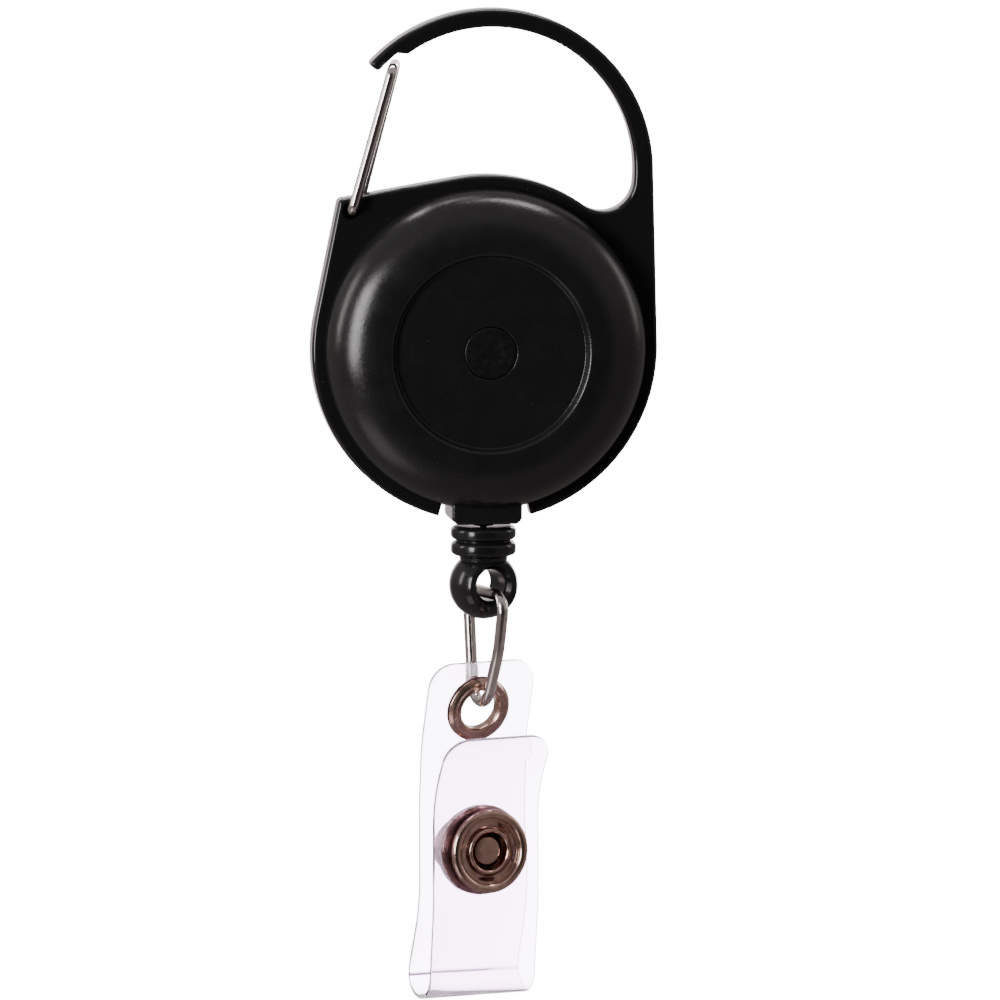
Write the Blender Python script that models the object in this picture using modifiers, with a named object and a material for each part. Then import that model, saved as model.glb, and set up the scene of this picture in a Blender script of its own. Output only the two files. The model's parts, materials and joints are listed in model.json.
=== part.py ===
"""Retractable badge reel on a flat carabiner frame, with a wire gate, a sprung cord reel,
a ribbed cord end, a wire link and a clear strap that closes with a snap fastener.

Metres, +Z up. The origin is the hang point: the crown of the hook's inner edge, in the middle
of the frame's thickness. +X is to the right and -Y is the front, where the label recess is.
"""

import math

import bmesh
import bpy
from mathutils import Matrix, Vector

MM = 0.001
GAP = 0.3 * MM

# Carabiner frame: a flat plate, 34.5 mm wide, round the case and over the hook.
FRAME_THICKNESS = 2.6 * MM
FRAME_EDGE = 0.45 * MM
HOOK_INNER_R = 14.4 * MM
HOOK_OUTER_R = 16.3 * MM
HOOK_OUTER_DROP = 0.1 * MM
BODY_R = 17.25 * MM
SEAT_R = 15.6 * MM
POCKET_R = 3.1 * MM
BODY_LEFT_LEAN = math.radians(11.5)
BODY_TOP_SLOPE = math.radians(9.5)
BODY_CORNER_R = 0.6 * MM
RING_GAP_HALF_ANGLE = math.radians(15.5)
TIP_ANGLE = math.radians(137.8)
TIP_INNER_R = 15.1 * MM
NOTCH_ANGLE = math.radians(124.7)
NOTCH_RAMP = math.radians(3.0)

# Case of the reel, centred below the hook.
CASE_X = -0.55 * MM
CASE_Z = -31.95 * MM
CASE_R = 16.0 * MM
BARREL_R = SEAT_R - GAP
CASE_WALL = 1.2 * MM
CASE_FRONT = 6.0 * MM
CASE_BACK = 5.0 * MM
LABEL_R = 9.5 * MM
LABEL_EDGE_R = 10.1 * MM
LABEL_DEPTH = 0.7 * MM
POST_HOLE_R = 2.75 * MM
SPOUT_WIDTH = 7.0 * MM
SPOUT_DEPTH = 6.0 * MM
SPOUT_END_Z = -49.3 * MM
SPOUT_CORNER = 0.6 * MM
CORD_BORE_R = 0.85 * MM

# Reel works, all turned round the case's axis. Heights run towards the front.
POST_R = 1.5 * MM
POST_HEAD_R = 2.45 * MM
SPOOL_BORE_R = 1.9 * MM
DRUM_R = 9.4 * MM
DRUM_WALL = 1.2 * MM
FLANGE_R = 13.3 * MM
FLANGE = 0.6 * MM
GROOVE_HALF = 1.5 * MM
SPOOL_FRONT = 3.4 * MM
SPOOL_WEB = 0.8 * MM
LID = 0.6 * MM
CORD_R = 0.35 * MM
WINDING_OUTER_R = 11.9 * MM
SPRING_STRIP = 0.15 * MM
SPRING_TURNS = 5
SPRING_INNER_R = 2.2 * MM
SPRING_OUTER_R = 7.6 * MM
SPRING_POINTS_PER_TURN = 16

# Wire gate: one bent wire whose two legs straddle the frame.
GATE_WIRE_R = 0.525 * MM
GATE_PIVOT = Vector((-13.9 * MM, -18.0 * MM))
GATE_NOSE = Vector((-9.7 * MM, -3.93 * MM))
GATE_LEG_Y = 2.1 * MM
GATE_FOOT_IN = 0.7 * MM
GATE_BEND_R = 0.8 * MM
GATE_HOLE_R = 0.85 * MM
GATE_HOLE_DEPTH = 1.0 * MM
GATE_SWING = math.radians(45)
REAR_FOOT_OFFSET = Vector((1.0 * MM, -0.5 * MM))

# Cord end, link and strap hang on the cord's axis and are turned a little to the right.
LOWER_TURN = math.radians(20)
FITTING_TOP_Z = SPOUT_END_Z - 0.35 * MM
BALL_Z = -55.7 * MM
BALL_R = 3.3 * MM
BALL_FLAT = 2.2 * MM
BALL_HOLE_R = 1.6 * MM
BALL_HOLE_Z = -55.5 * MM
KNOT_Z = -52.2 * MM
KNOT_R = 0.95 * MM
LINK_WIRE_R = 0.5 * MM
LINK_TOP_Z = -56.3 * MM
LINK_TOP_BACK = -3.25 * MM
LINK_TOP_FRONT = 4.4 * MM
LINK_TOP_R = 1.6 * MM
LINK_KNEE = Vector((3.2 * MM, -62.0 * MM))
LINK_KNEE_R = 12 * MM
LINK_APEX_R = 1.85 * MM
LINK_APEX = Vector((-1.65 * MM, -72.3 * MM))
LINK_AXIS_Z = -67.25 * MM

STRAP_WIDTH = 11.7 * MM
STRAP_THICKNESS = 0.4 * MM
STRAP_CORNER_R = 2.5 * MM
STRAP_TOP_Z = -63.3 * MM
STRAP_OUT = -1.2 * MM
STRAP_LEAN = math.radians(15)
STRAP_LENGTH_STEP = 2.5 * MM
FOLD_CENTRE = Vector((-2.6 * MM, -94.6 * MM))
FOLD_R = 2.15 * MM
FLAP_TOP = Vector((3.6 * MM, -70.5 * MM))
# The flap hinges on a line in the fold, just behind its lowest point, with clearance on each side.
HINGE_ANGLE = math.radians(245)
HINGE = FOLD_CENTRE + FOLD_R * Vector((math.cos(HINGE_ANGLE), math.sin(HINGE_ANGLE)))
HINGE_CLEARANCE = 0.4 * MM / FOLD_R
EYELET_Z = -68.1 * MM
EYELET_R = 3.3 * MM
EYELET_HOLE_R = 2.0 * MM

# Snap fastener. Heights run along its axis from the middle of the strap's back layer.
SNAP_Z = -82.1 * MM
SNAP_OUT = -2.5 * MM
SNAP_SPACING = 2.95 * MM
SNAP_ZONE = 5.5 * MM
STUD_HOLE_R = 1.5 * MM
SOCKET_HOLE_R = 2.6 * MM
SNAP_RING_R = 4.2 * MM
SNAP_SLOT_ANGLES = (60, 0, -90)

LARGE_STEPS = 44
SMALL_STEPS = 26
MERGE = 1e-6

# Looks: base colour, roughness and metallic value.
BLACK_GLOSS = ((0.012, 0.012, 0.013), 0.18, 0.0)
BLACK_SATIN = ((0.018, 0.018, 0.019), 0.48, 0.0)
STEEL_WIRE = ((0.74, 0.71, 0.70), 0.16, 1.0)
NICKEL = ((0.66, 0.60, 0.56), 0.20, 1.0)
SPRING_STEEL = ((0.35, 0.36, 0.38), 0.30, 1.0)
WHITE_PLASTIC = ((0.80, 0.80, 0.78), 0.45, 0.0)
BLACK_CORD = ((0.02, 0.02, 0.02), 0.80, 0.0)
CLEAR_VINYL = ((0.93, 0.91, 0.95), 0.10, 0.0)


def polar(centre, radius, angle):
    """The point of a circle at this angle, as a 2D vector."""
    return Vector((centre[0] + radius * math.cos(angle), centre[1] + radius * math.sin(angle)))


def arc(centre, radius, start, end, step=math.radians(9)):
    """Points along a circle from start to end, both included."""
    count = max(2, math.ceil(abs(end - start) / step) + 1)
    return [polar(centre, radius, start + (end - start) * i / (count - 1)) for i in range(count)]


def meeting(point_a, angle_a, point_b, angle_b):
    """Where two lines cross, each given by a point and the angle that it runs at."""
    along_a = Vector((math.cos(angle_a), math.sin(angle_a)))
    along_b = Vector((math.cos(angle_b), math.sin(angle_b)))
    reach = (point_b - point_a).cross(along_b) / along_a.cross(along_b)
    return point_a + along_a * reach


def rounded(points, radius, closed=False, steps=5):
    """The points with each corner turned into an arc; radius is one number or one per corner."""
    count = len(points)
    radii = radius if isinstance(radius, (list, tuple)) else [radius] * count
    result = []
    for i, corner in enumerate(points):
        if not closed and i in (0, count - 1):
            result.append(corner.copy())
            continue
        before = (points[i - 1] - corner).normalized()
        after = (points[(i + 1) % count] - corner).normalized()
        half = before.angle(after) / 2
        middle = (before + after).normalized()
        centre = corner + middle * (radii[i] / math.sin(half))
        first = corner + before * (radii[i] / math.tan(half)) - centre
        last = corner + after * (radii[i] / math.tan(half)) - centre
        swing = first.angle(last)
        for k in range(steps + 1):
            share = k / steps
            mix = first * math.sin((1 - share) * swing) + last * math.sin(share * swing)
            result.append(centre + mix / math.sin(swing))
    return result


def smooth_line(points, spacing):
    """Points along a Catmull-Rom curve through the given ones."""
    padded = [points[0] * 2 - points[1]] + points + [points[-1] * 2 - points[-2]]
    result = []
    for before, start, end, after in zip(padded, padded[1:], padded[2:], padded[3:]):
        count = max(1, round((end - start).length / spacing))
        for k in range(count):
            t = k / count
            bend = (before * 2 - start * 5 + end * 4 - after) * t * t
            twist = (start * 3 - before - end * 3 + after) * t * t * t
            result.append((start * 2 + (end - before) * t + bend + twist) / 2)
    return result + [points[-1].copy()]


def material(name, look):
    """A Principled material with this look, for one part only."""
    colour, roughness, metallic = look
    made = bpy.data.materials.new(name)
    made.use_nodes = True
    shader = made.node_tree.nodes["Principled BSDF"]
    shader.inputs["Base Color"].default_value = (*colour, 1.0)
    shader.inputs["Roughness"].default_value = roughness
    shader.inputs["Metallic"].default_value = metallic
    made.diffuse_color = (*colour, 1.0)
    return made


def empty(name, place, parent=None):
    made = bpy.data.objects.new(name, None)
    made.empty_display_size = 3 * MM
    parts.objects.link(made)
    made.parent = parent
    made.matrix_world = place
    bpy.context.view_layer.update()
    return made


def add_part(name, data, look, place=Matrix(), parent=None):
    """One sub-part of the assembly, in the part collection, with a material of its own."""
    made = bpy.data.objects.new(name, data)
    parts.objects.link(made)
    data.materials.append(material(name, look))
    made.parent = parent
    made.matrix_world = place
    bpy.context.view_layer.update()
    return made


def add_cutter(name, mesh, place=Matrix()):
    made = bpy.data.objects.new(name, mesh)
    cutters.objects.link(made)
    made.matrix_world = place
    made.hide_render = True
    made.display_type = "WIRE"
    bpy.context.view_layer.update()
    return made


def boolean(target, other, operation="DIFFERENCE"):
    modifier = target.modifiers.new(other.name, "BOOLEAN")
    modifier.operation = operation
    modifier.object = other


def shade(mesh, angle=35):
    mesh.shade_smooth()
    mesh.set_sharp_from_angle(angle=math.radians(angle))


def turned_mesh(name, profile, closed):
    """Edges of a profile of (radius, height) pairs that runs down its outer side."""
    mesh = bpy.data.meshes.new(name)
    points = [(radius, 0.0, height) for radius, height in profile]
    edges = [(i, i + 1) for i in range(len(points) - 1)]
    if closed:
        edges.append((len(points) - 1, 0))
    mesh.from_pydata(points, edges, [])
    return mesh


def turned(name, profile, look, place, parent=None, closed=True, steps=SMALL_STEPS):
    """A part turned round its own Z: the profile and a Screw modifier."""
    made = add_part(name, turned_mesh(name, profile, closed), look, place, parent)
    screw = made.modifiers.new("turn", "SCREW")
    screw.steps = steps
    screw.render_steps = steps
    screw.use_merge_vertices = True
    screw.merge_threshold = MERGE
    return made


def wire_curve(name, points, radius, closed=False, resolution=2):
    curve = bpy.data.curves.new(name, "CURVE")
    curve.dimensions = "3D"
    curve.bevel_depth = radius
    curve.bevel_resolution = resolution
    curve.use_fill_caps = not closed
    spline = curve.splines.new("POLY")
    spline.points.add(len(points) - 1)
    for spot, point in zip(spline.points, points):
        spot.co = (*point, 1.0)
    spline.use_cyclic_u = closed
    return curve


def mesh_of(curve, name):
    """The curve as a welded mesh, so that Booleans can work on it. The curve is removed."""
    holder = bpy.data.objects.new(name, curve)
    cutters.objects.link(holder)
    graph = bpy.context.evaluated_depsgraph_get()
    mesh = bpy.data.meshes.new_from_object(holder.evaluated_get(graph), depsgraph=graph)
    bpy.data.objects.remove(holder)
    bpy.data.curves.remove(curve)
    bm = bmesh.new()
    bm.from_mesh(mesh)
    bmesh.ops.remove_doubles(bm, verts=bm.verts, dist=MERGE)
    bmesh.ops.recalc_face_normals(bm, faces=bm.faces)
    bm.to_mesh(mesh)
    bm.free()
    mesh.name = name
    return mesh


def cylinder_mesh(name, radius, length, steps=24):
    """A cylinder on its own Z, centred on its origin."""
    bm = bmesh.new()
    bmesh.ops.create_cone(
        bm, cap_ends=True, segments=steps, radius1=radius, radius2=radius, depth=length
    )
    mesh = bpy.data.meshes.new(name)
    bm.to_mesh(mesh)
    bm.free()
    return mesh


def box_mesh(name, size):
    """A box centred on its origin."""
    bm = bmesh.new()
    bmesh.ops.create_cube(bm, size=1.0, matrix=Matrix.Diagonal((*size, 1.0)))
    mesh = bpy.data.meshes.new(name)
    bm.to_mesh(mesh)
    bm.free()
    return mesh


def flat(point, y=0.0):
    """A point of a front view (x, z) set in space at this depth."""
    return Vector((point[0], y, point[1]))


# ---------------------------------------------------------------- carabiner frame and gate


def frame_outline():
    """The frame's front view as one loop: hook, right side, open ring, left side, top, pocket."""
    hook = Vector((0.0, -HOOK_INNER_R))
    hook_outer = Vector((0.0, -HOOK_INNER_R - HOOK_OUTER_DROP))
    case = Vector((CASE_X, CASE_Z))
    bottom = -math.pi / 2

    # The pocket touches the body's circle outside and the hook's circle inside.
    across = hook - case
    to_body = BODY_R + POCKET_R
    to_hook = HOOK_INNER_R - POCKET_R
    along = (to_body**2 - to_hook**2 + across.length_squared) / (2 * across.length)
    side = math.sqrt(to_body**2 - along**2)
    unit = across.normalized()
    pocket = case + unit * along + Vector((unit.y, -unit.x)) * side
    body_touch = (pocket - case).to_2d()
    body_angle = math.atan2(body_touch.y, body_touch.x)
    hook_touch = pocket - hook
    hook_angle = math.atan2(hook_touch.y, hook_touch.x)

    left_angle = math.pi - BODY_LEFT_LEAN
    top_angle = math.pi / 2 + BODY_TOP_SLOPE
    left_end = polar(case, BODY_R, left_angle)
    top_end = polar(case, BODY_R, top_angle)
    corner = meeting(left_end, math.pi / 2 - BODY_LEFT_LEAN, top_end, BODY_TOP_SLOPE)

    points = arc(hook_outer, HOOK_OUTER_R, TIP_ANGLE, 0.0)
    points += arc(case, BODY_R, 0.0, bottom + RING_GAP_HALF_ANGLE)
    points += arc(case, SEAT_R, bottom + RING_GAP_HALF_ANGLE, 1.5 * math.pi - RING_GAP_HALF_ANGLE)
    points += arc(case, BODY_R, 1.5 * math.pi - RING_GAP_HALF_ANGLE, left_angle)
    points += rounded([left_end, corner, top_end], BODY_CORNER_R, steps=3)[1:-1]
    points += arc(case, BODY_R, top_angle, body_angle)
    points += arc(pocket, POCKET_R, body_angle - math.pi, hook_angle, math.radians(15))[1:]
    points += arc(hook, HOOK_INNER_R, hook_angle, NOTCH_ANGLE)[1:]
    points += arc(hook, TIP_INNER_R, NOTCH_ANGLE + NOTCH_RAMP, TIP_ANGLE)
    return points


def slot_outline(centre, radius, half_width, start, end):
    """A curved slot with round ends: two arcs about the centre, joined by half circles."""
    outline = arc(centre, radius + half_width, start, end)
    outline += arc(polar(centre, radius, end), half_width, end, end - math.pi)[1:]
    outline += arc(centre, radius - half_width, end, start)[1:]
    outline += arc(polar(centre, radius, start), half_width, start - math.pi, start - 2 * math.pi)[1:-1]
    return outline


def plate_mesh(name, outline, thickness, edge=0.0):
    """A flat plate on XY with this outline, with its edges rounded when edge is given."""
    curve = bpy.data.curves.new(name, "CURVE")
    curve.dimensions = "2D"
    curve.fill_mode = "BOTH"
    curve.extrude = thickness / 2 - edge
    curve.bevel_depth = edge
    curve.bevel_resolution = 1
    curve.offset = -edge
    spline = curve.splines.new("POLY")
    spline.points.add(len(outline) - 1)
    for spot, point in zip(spline.points, outline):
        spot.co = (point.x, point.y, 0.0, 1.0)
    spline.use_cyclic_u = True
    return mesh_of(curve, name)


def build_frame():
    mesh = plate_mesh("carabiner_frame", frame_outline(), FRAME_THICKNESS, FRAME_EDGE)
    upright = Matrix.Rotation(math.pi / 2, 4, "X")
    frame = add_part("carabiner_frame", mesh, BLACK_GLOSS, upright)
    shade(mesh)

    face = FRAME_THICKNESS / 2
    front_hole = cylinder_mesh("gate_hole_cut", GATE_HOLE_R, 2 * GATE_HOLE_DEPTH)
    spot = Matrix.Translation(flat(GATE_PIVOT, -face)) @ upright
    boolean(frame, add_cutter("gate_hole_cut", front_hole, spot))

    # The rear foot swings a little round the front foot's axis, so its hole is a short curved slot.
    start = math.atan2(REAR_FOOT_OFFSET.y, REAR_FOOT_OFFSET.x)
    swing = slot_outline(
        GATE_PIVOT, REAR_FOOT_OFFSET.length, GATE_HOLE_R, start, start - GATE_SWING
    )
    slot = plate_mesh("gate_slot_cut", swing, 2 * GATE_HOLE_DEPTH)
    spot = Matrix.Translation((0.0, face, 0.0)) @ upright
    boolean(frame, add_cutter("gate_slot_cut", slot, spot))


def build_gate():
    """One wire: front foot, front leg, nose, rear leg and rear foot."""
    face = FRAME_THICKNESS / 2
    rear = GATE_PIVOT + REAR_FOOT_OFFSET
    foot_y = face - GATE_FOOT_IN
    corners = [
        flat(GATE_PIVOT, -foot_y),
        flat(GATE_PIVOT, -GATE_LEG_Y),
        flat(GATE_NOSE, -GATE_LEG_Y),
        flat(GATE_NOSE, GATE_LEG_Y),
        flat(rear, GATE_LEG_Y),
        flat(rear, foot_y),
    ]
    pivot = flat(GATE_PIVOT)
    path = [point - pivot for point in rounded(corners, GATE_BEND_R, steps=4)]
    curve = wire_curve("gate_wire", path, GATE_WIRE_R)
    add_part("gate_wire", curve, STEEL_WIRE, Matrix.Translation(pivot))


# ---------------------------------------------------------------- case and reel works


def front_profile():
    """Front cover, as (radius, height to the front): label recess, two shoulders, rim, barrel."""
    floor = CASE_FRONT - LABEL_DEPTH
    inside = floor - CASE_WALL + 0.1 * MM
    wall_r = BARREL_R - CASE_WALL
    rim = FRAME_THICKNESS / 2 + GAP
    return [
        (POST_HOLE_R, floor),
        (LABEL_R, floor),
        (LABEL_EDGE_R, CASE_FRONT),
        (12.2 * MM, CASE_FRONT),
        (12.9 * MM, CASE_FRONT - 0.3 * MM),
        (13.5 * MM, CASE_FRONT - 1.1 * MM),
        (14.4 * MM, CASE_FRONT - 1.8 * MM),
        (15.3 * MM, CASE_FRONT - 2.6 * MM),
        (15.8 * MM, CASE_FRONT - 3.4 * MM),
        (CASE_R, rim + 0.4 * MM),
        (CASE_R, rim),
        (BARREL_R, rim),
        (BARREL_R, GAP / 2),
        (wall_r, GAP / 2),
        (wall_r, inside - CASE_WALL),
        (wall_r - 1.3 * MM, inside),
        (POST_HOLE_R, inside),
    ]


def back_profile():
    """Back cover, as (radius, height to the back), with a socket for the post's end."""
    inside = CASE_BACK - CASE_WALL
    wall_r = BARREL_R - CASE_WALL
    rim = FRAME_THICKNESS / 2 + GAP
    return [
        (0.0, CASE_BACK),
        (11.6 * MM, CASE_BACK),
        (13.6 * MM, CASE_BACK - 0.4 * MM),
        (15.1 * MM, CASE_BACK - 1.3 * MM),
        (15.8 * MM, CASE_BACK - 2.2 * MM),
        (CASE_R, rim + 0.4 * MM),
        (CASE_R, rim),
        (BARREL_R, rim),
        (BARREL_R, GAP / 2),
        (wall_r, GAP / 2),
        (wall_r, inside - 0.9 * MM),
        (wall_r - 1.3 * MM, inside),
        (POST_R + GAP, inside),
        (POST_R + GAP, inside + CASE_WALL / 2),
        (0.0, inside + CASE_WALL / 2),
    ]


def build_cover(name, profile, closed, side):
    """A cover with its half of the spout joined on and the cord's bore cut through both.
    side is -1 for the front cover and 1 for the back."""
    turn = Matrix.Rotation(-side * math.pi / 2, 4, "X")
    place = Matrix.Translation((CASE_X, 0.0, CASE_Z)) @ turn
    cover = turned(name, profile, BLACK_SATIN, place, closed=closed, steps=LARGE_STEPS)
    half = SPOUT_WIDTH / 2
    spout_top = CASE_Z - BARREL_R + CASE_WALL / 2
    corners = [(-half, spout_top), (-half, SPOUT_END_Z), (half, SPOUT_END_Z), (half, spout_top)]
    outline = rounded([Vector(corner) for corner in corners], SPOUT_CORNER, steps=3)
    depth = SPOUT_DEPTH / 2 - GAP / 2
    block = plate_mesh(name + "_spout", outline, depth)
    upright = Matrix.Rotation(math.pi / 2, 4, "X")
    spot = Matrix.Translation((CASE_X, side * (GAP + depth) / 2, 0.0)) @ upright
    boolean(cover, add_cutter(name + "_spout", block, spot), "UNION")
    bore = cylinder_mesh(name + "_bore", CORD_BORE_R, 12 * MM, 16)
    spot = Matrix.Translation((CASE_X, 0.0, SPOUT_END_Z))
    boolean(cover, add_cutter(name + "_bore", bore, spot))


def build_post(place):
    head = CASE_FRONT - LABEL_DEPTH - GAP
    shoulder = SPOOL_FRONT + 0.4 * MM
    back = -(CASE_BACK - CASE_WALL + GAP)
    profile = [
        (0.0, head),
        (POST_HEAD_R, head),
        (POST_HEAD_R, shoulder),
        (POST_R, shoulder),
        (POST_R, back),
        (0.0, back),
    ]
    post = turned("centre_post", profile, BLACK_GLOSS, place, closed=False)
    # A slit across the post holds the power spring's inner end.
    slit_top = SPOOL_FRONT - SPOOL_WEB - GAP
    height = slit_top - back + GAP
    slit = box_mesh("spring_slit", (4 * POST_R, 0.7 * MM, height))
    middle = Matrix.Translation((0.0, 0.0, slit_top - height / 2))
    boolean(post, add_cutter("spring_slit", slit, place @ middle))


def build_spool(place):
    edge = GROOVE_HALF + FLANGE
    inside_r = DRUM_R - DRUM_WALL
    profile = [
        (SPOOL_BORE_R, SPOOL_FRONT),
        (DRUM_R, SPOOL_FRONT),
        (DRUM_R, edge),
        (FLANGE_R, edge),
        (FLANGE_R, GROOVE_HALF),
        (DRUM_R, GROOVE_HALF),
        (DRUM_R, -GROOVE_HALF),
        (FLANGE_R, -GROOVE_HALF),
        (FLANGE_R, -edge),
        (inside_r, -edge),
        (inside_r, SPOOL_FRONT - SPOOL_WEB),
        (SPOOL_BORE_R, SPOOL_FRONT - SPOOL_WEB),
    ]
    turned("spool", profile, WHITE_PLASTIC, place, steps=LARGE_STEPS)
    top = -edge - GAP
    lid = [
        (SPOOL_BORE_R, top),
        (DRUM_R, top),
        (DRUM_R, top - LID),
        (SPOOL_BORE_R, top - LID),
    ]
    turned("spring_cover", lid, WHITE_PLASTIC, place)
    half = GROOVE_HALF - GAP
    low = DRUM_R + GAP
    ring = [
        (low, half),
        (WINDING_OUTER_R - CORD_R, half),
        (WINDING_OUTER_R, half - CORD_R),
        (WINDING_OUTER_R, CORD_R - half),
        (WINDING_OUTER_R - CORD_R, -half),
        (low, -half),
    ]
    turned("cord_winding", ring, BLACK_CORD, place, steps=36)


def build_power_spring(place):
    """A flat strip wound in a spiral, from a tail in the post's slit to the drum's wall."""
    top = SPOOL_FRONT - SPOOL_WEB - 2 * GAP
    bottom = -(GROOVE_HALF + FLANGE - GAP)
    total = SPRING_TURNS * SPRING_POINTS_PER_TURN
    path = [Vector((-0.6 * MM, 0.0)), Vector((SPRING_INNER_R - 0.3 * MM, 0.0))]
    for i in range(1, total + 1):
        share = i / total
        radius = SPRING_INNER_R + (SPRING_OUTER_R - SPRING_INNER_R) * share
        path.append(polar((0.0, 0.0), radius, 2 * math.pi * SPRING_TURNS * share))
    bm = bmesh.new()
    rows = [[bm.verts.new((p.x, p.y, level)) for level in (bottom, top)] for p in path]
    for row, following in zip(rows, rows[1:]):
        bm.faces.new((row[0], following[0], following[1], row[1]))
    mesh = bpy.data.meshes.new("power_spring")
    bm.to_mesh(mesh)
    bm.free()
    shade(mesh)
    spring = add_part("power_spring", mesh, SPRING_STEEL, place)
    solid = spring.modifiers.new("strip", "SOLIDIFY")
    solid.thickness = SPRING_STRIP
    solid.offset = 0.0


def build_cord():
    """The cord's run inside the case, its short bare stretch, and the knot in the cord end."""
    leave_r = WINDING_OUTER_R + CORD_R + GAP
    turn_r = 1.8 * MM
    corner_drop = leave_r + 0.8 * MM
    lean = math.acos(leave_r / corner_drop)
    case = Vector((CASE_X, CASE_Z))
    start = polar(case, leave_r, lean - math.pi / 2)
    corner = case - Vector((0.0, corner_drop))
    end = Vector((CASE_X, SPOUT_END_Z + GAP))
    run = rounded([start, corner, end], turn_r, steps=6)
    curve = wire_curve("cord_feed", [flat(point) for point in run], CORD_R, resolution=2)
    add_part("cord_feed", curve, BLACK_CORD)

    top = SPOUT_END_Z
    bottom = KNOT_Z + KNOT_R + GAP
    lead = wire_curve("cord_lead", [(0, 0, top), (0, 0, bottom)], CORD_R)
    axis = Matrix.Translation((CASE_X, 0.0, 0.0))
    add_part("cord_lead", lead, BLACK_CORD, axis)

    bm = bmesh.new()
    bmesh.ops.create_uvsphere(bm, u_segments=14, v_segments=8, radius=KNOT_R)
    knot = bpy.data.meshes.new("cord_knot")
    bm.to_mesh(knot)
    bm.free()
    shade(knot)
    add_part("cord_knot", knot, BLACK_CORD, Matrix.Translation((CASE_X, 0.0, KNOT_Z)))


# ---------------------------------------------------------------- cord end and link


def build_fitting(axis):
    """Ribbed neck and flattened ball, bored for the cord from above and for the link across."""
    neck_r = 2.45 * MM
    ball_start = math.acos(neck_r / BALL_R)
    rise = FITTING_TOP_Z
    profile = [
        (0.0, BALL_HOLE_Z + 1.0 * MM),
        (KNOT_R + GAP, BALL_HOLE_Z + 1.0 * MM),
        (KNOT_R + GAP, KNOT_Z + KNOT_R),
        (CORD_R + 1.3 * GAP, KNOT_Z + KNOT_R + GAP),
        (CORD_R + 1.3 * GAP, rise),
        (2.75 * MM, rise),
        (3.15 * MM, rise - 0.25 * MM),
        (3.15 * MM, rise - 0.85 * MM),
        (2.8 * MM, rise - 1.15 * MM),
        (2.8 * MM, rise - 1.55 * MM),
        (3.1 * MM, rise - 1.85 * MM),
        (3.1 * MM, rise - 2.5 * MM),
        (2.6 * MM, rise - 2.95 * MM),
        (neck_r, rise - 3.4 * MM),
    ]
    ball = arc((0.0, BALL_Z), BALL_R, ball_start, -math.pi / 2, math.radians(13))
    profile += [(max(point.x, 0.0), point.y) for point in ball[:-1]] + [(0.0, BALL_Z - BALL_R)]
    pivot = empty("fitting_axis", axis)
    fitting = turned("end_fitting", profile, BLACK_GLOSS, axis, pivot, closed=False)
    for side in (-1, 1):
        name = "ball_flat_front" if side < 0 else "ball_flat_back"
        block = box_mesh(name, (8 * MM, 2 * MM, 5.6 * MM))
        spot = axis @ Matrix.Translation((0.0, side * (BALL_FLAT + 1 * MM), BALL_Z - 0.6 * MM))
        boolean(fitting, add_cutter(name, block, spot))
    hole = cylinder_mesh("ball_hole", BALL_HOLE_R, 3 * BALL_FLAT, 20)
    across = Matrix.Translation((0.0, 0.0, BALL_HOLE_Z)) @ Matrix.Rotation(math.pi / 2, 4, "X")
    boolean(fitting, add_cutter("ball_hole", hole, axis @ across))


def build_link(axis):
    """A closed wire loop, wide where it passes through the ball and narrow at the eyelet."""
    corners = [
        Vector((LINK_TOP_BACK, LINK_TOP_Z)),
        Vector((LINK_TOP_FRONT, LINK_TOP_Z)),
        LINK_KNEE,
        LINK_APEX,
    ]
    radii = [LINK_TOP_R, LINK_TOP_R, LINK_KNEE_R, LINK_APEX_R]
    loop = rounded(corners, radii, closed=True, steps=8)
    pivot = empty("link_axis", axis @ Matrix.Translation((0.0, 0.0, LINK_TOP_Z)))
    path = [Vector((0.0, -out, z)) for out, z in loop]
    curve = wire_curve("wire_link", path, LINK_WIRE_R, closed=True)
    add_part("wire_link", curve, STEEL_WIRE, axis, pivot)


# ---------------------------------------------------------------- strap


def snap_run(outwards):
    """The straight stretch of a layer through the snap, top to bottom, as (outwards, z)."""
    return Vector((outwards, SNAP_Z + SNAP_ZONE)), Vector((outwards, SNAP_Z - SNAP_ZONE))


def back_line():
    """Side view of the strap's back layer down to the hinge in the fold, as (outwards, z)."""
    high, low = snap_run(SNAP_OUT)
    lean = math.tan(STRAP_LEAN)
    stops = (STRAP_TOP_Z, EYELET_Z, EYELET_Z - EYELET_R)
    upper = [Vector((STRAP_OUT + lean * (z - EYELET_Z), z)) for z in stops] + [high]
    lower = [low, FOLD_CENTRE + Vector((-FOLD_R, 0.6 * MM))]
    end = HINGE_ANGLE - HINGE_CLEARANCE
    fold = arc(FOLD_CENTRE, FOLD_R, math.radians(178), end, math.radians(20))
    return smooth_line(upper, STRAP_LENGTH_STEP) + smooth_line(lower, STRAP_LENGTH_STEP) + fold


def flap_line():
    """Side view of the flap, from the hinge round the front of the fold to its free end."""
    high, low = snap_run(SNAP_OUT + SNAP_SPACING)
    start = HINGE_ANGLE + HINGE_CLEARANCE
    fold = arc(FOLD_CENTRE, FOLD_R, start, 2 * math.pi, math.radians(20))
    lower = smooth_line([fold[-1], low], STRAP_LENGTH_STEP)
    return fold[:-1] + lower + smooth_line([high, FLAP_TOP], STRAP_LENGTH_STEP)


def corner_cut(distance):
    """How far a rounded corner pulls the side in at this distance from the strap's end."""
    inside = STRAP_CORNER_R - min(distance, STRAP_CORNER_R)
    return STRAP_CORNER_R - math.sqrt(STRAP_CORNER_R**2 - inside**2)


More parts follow.
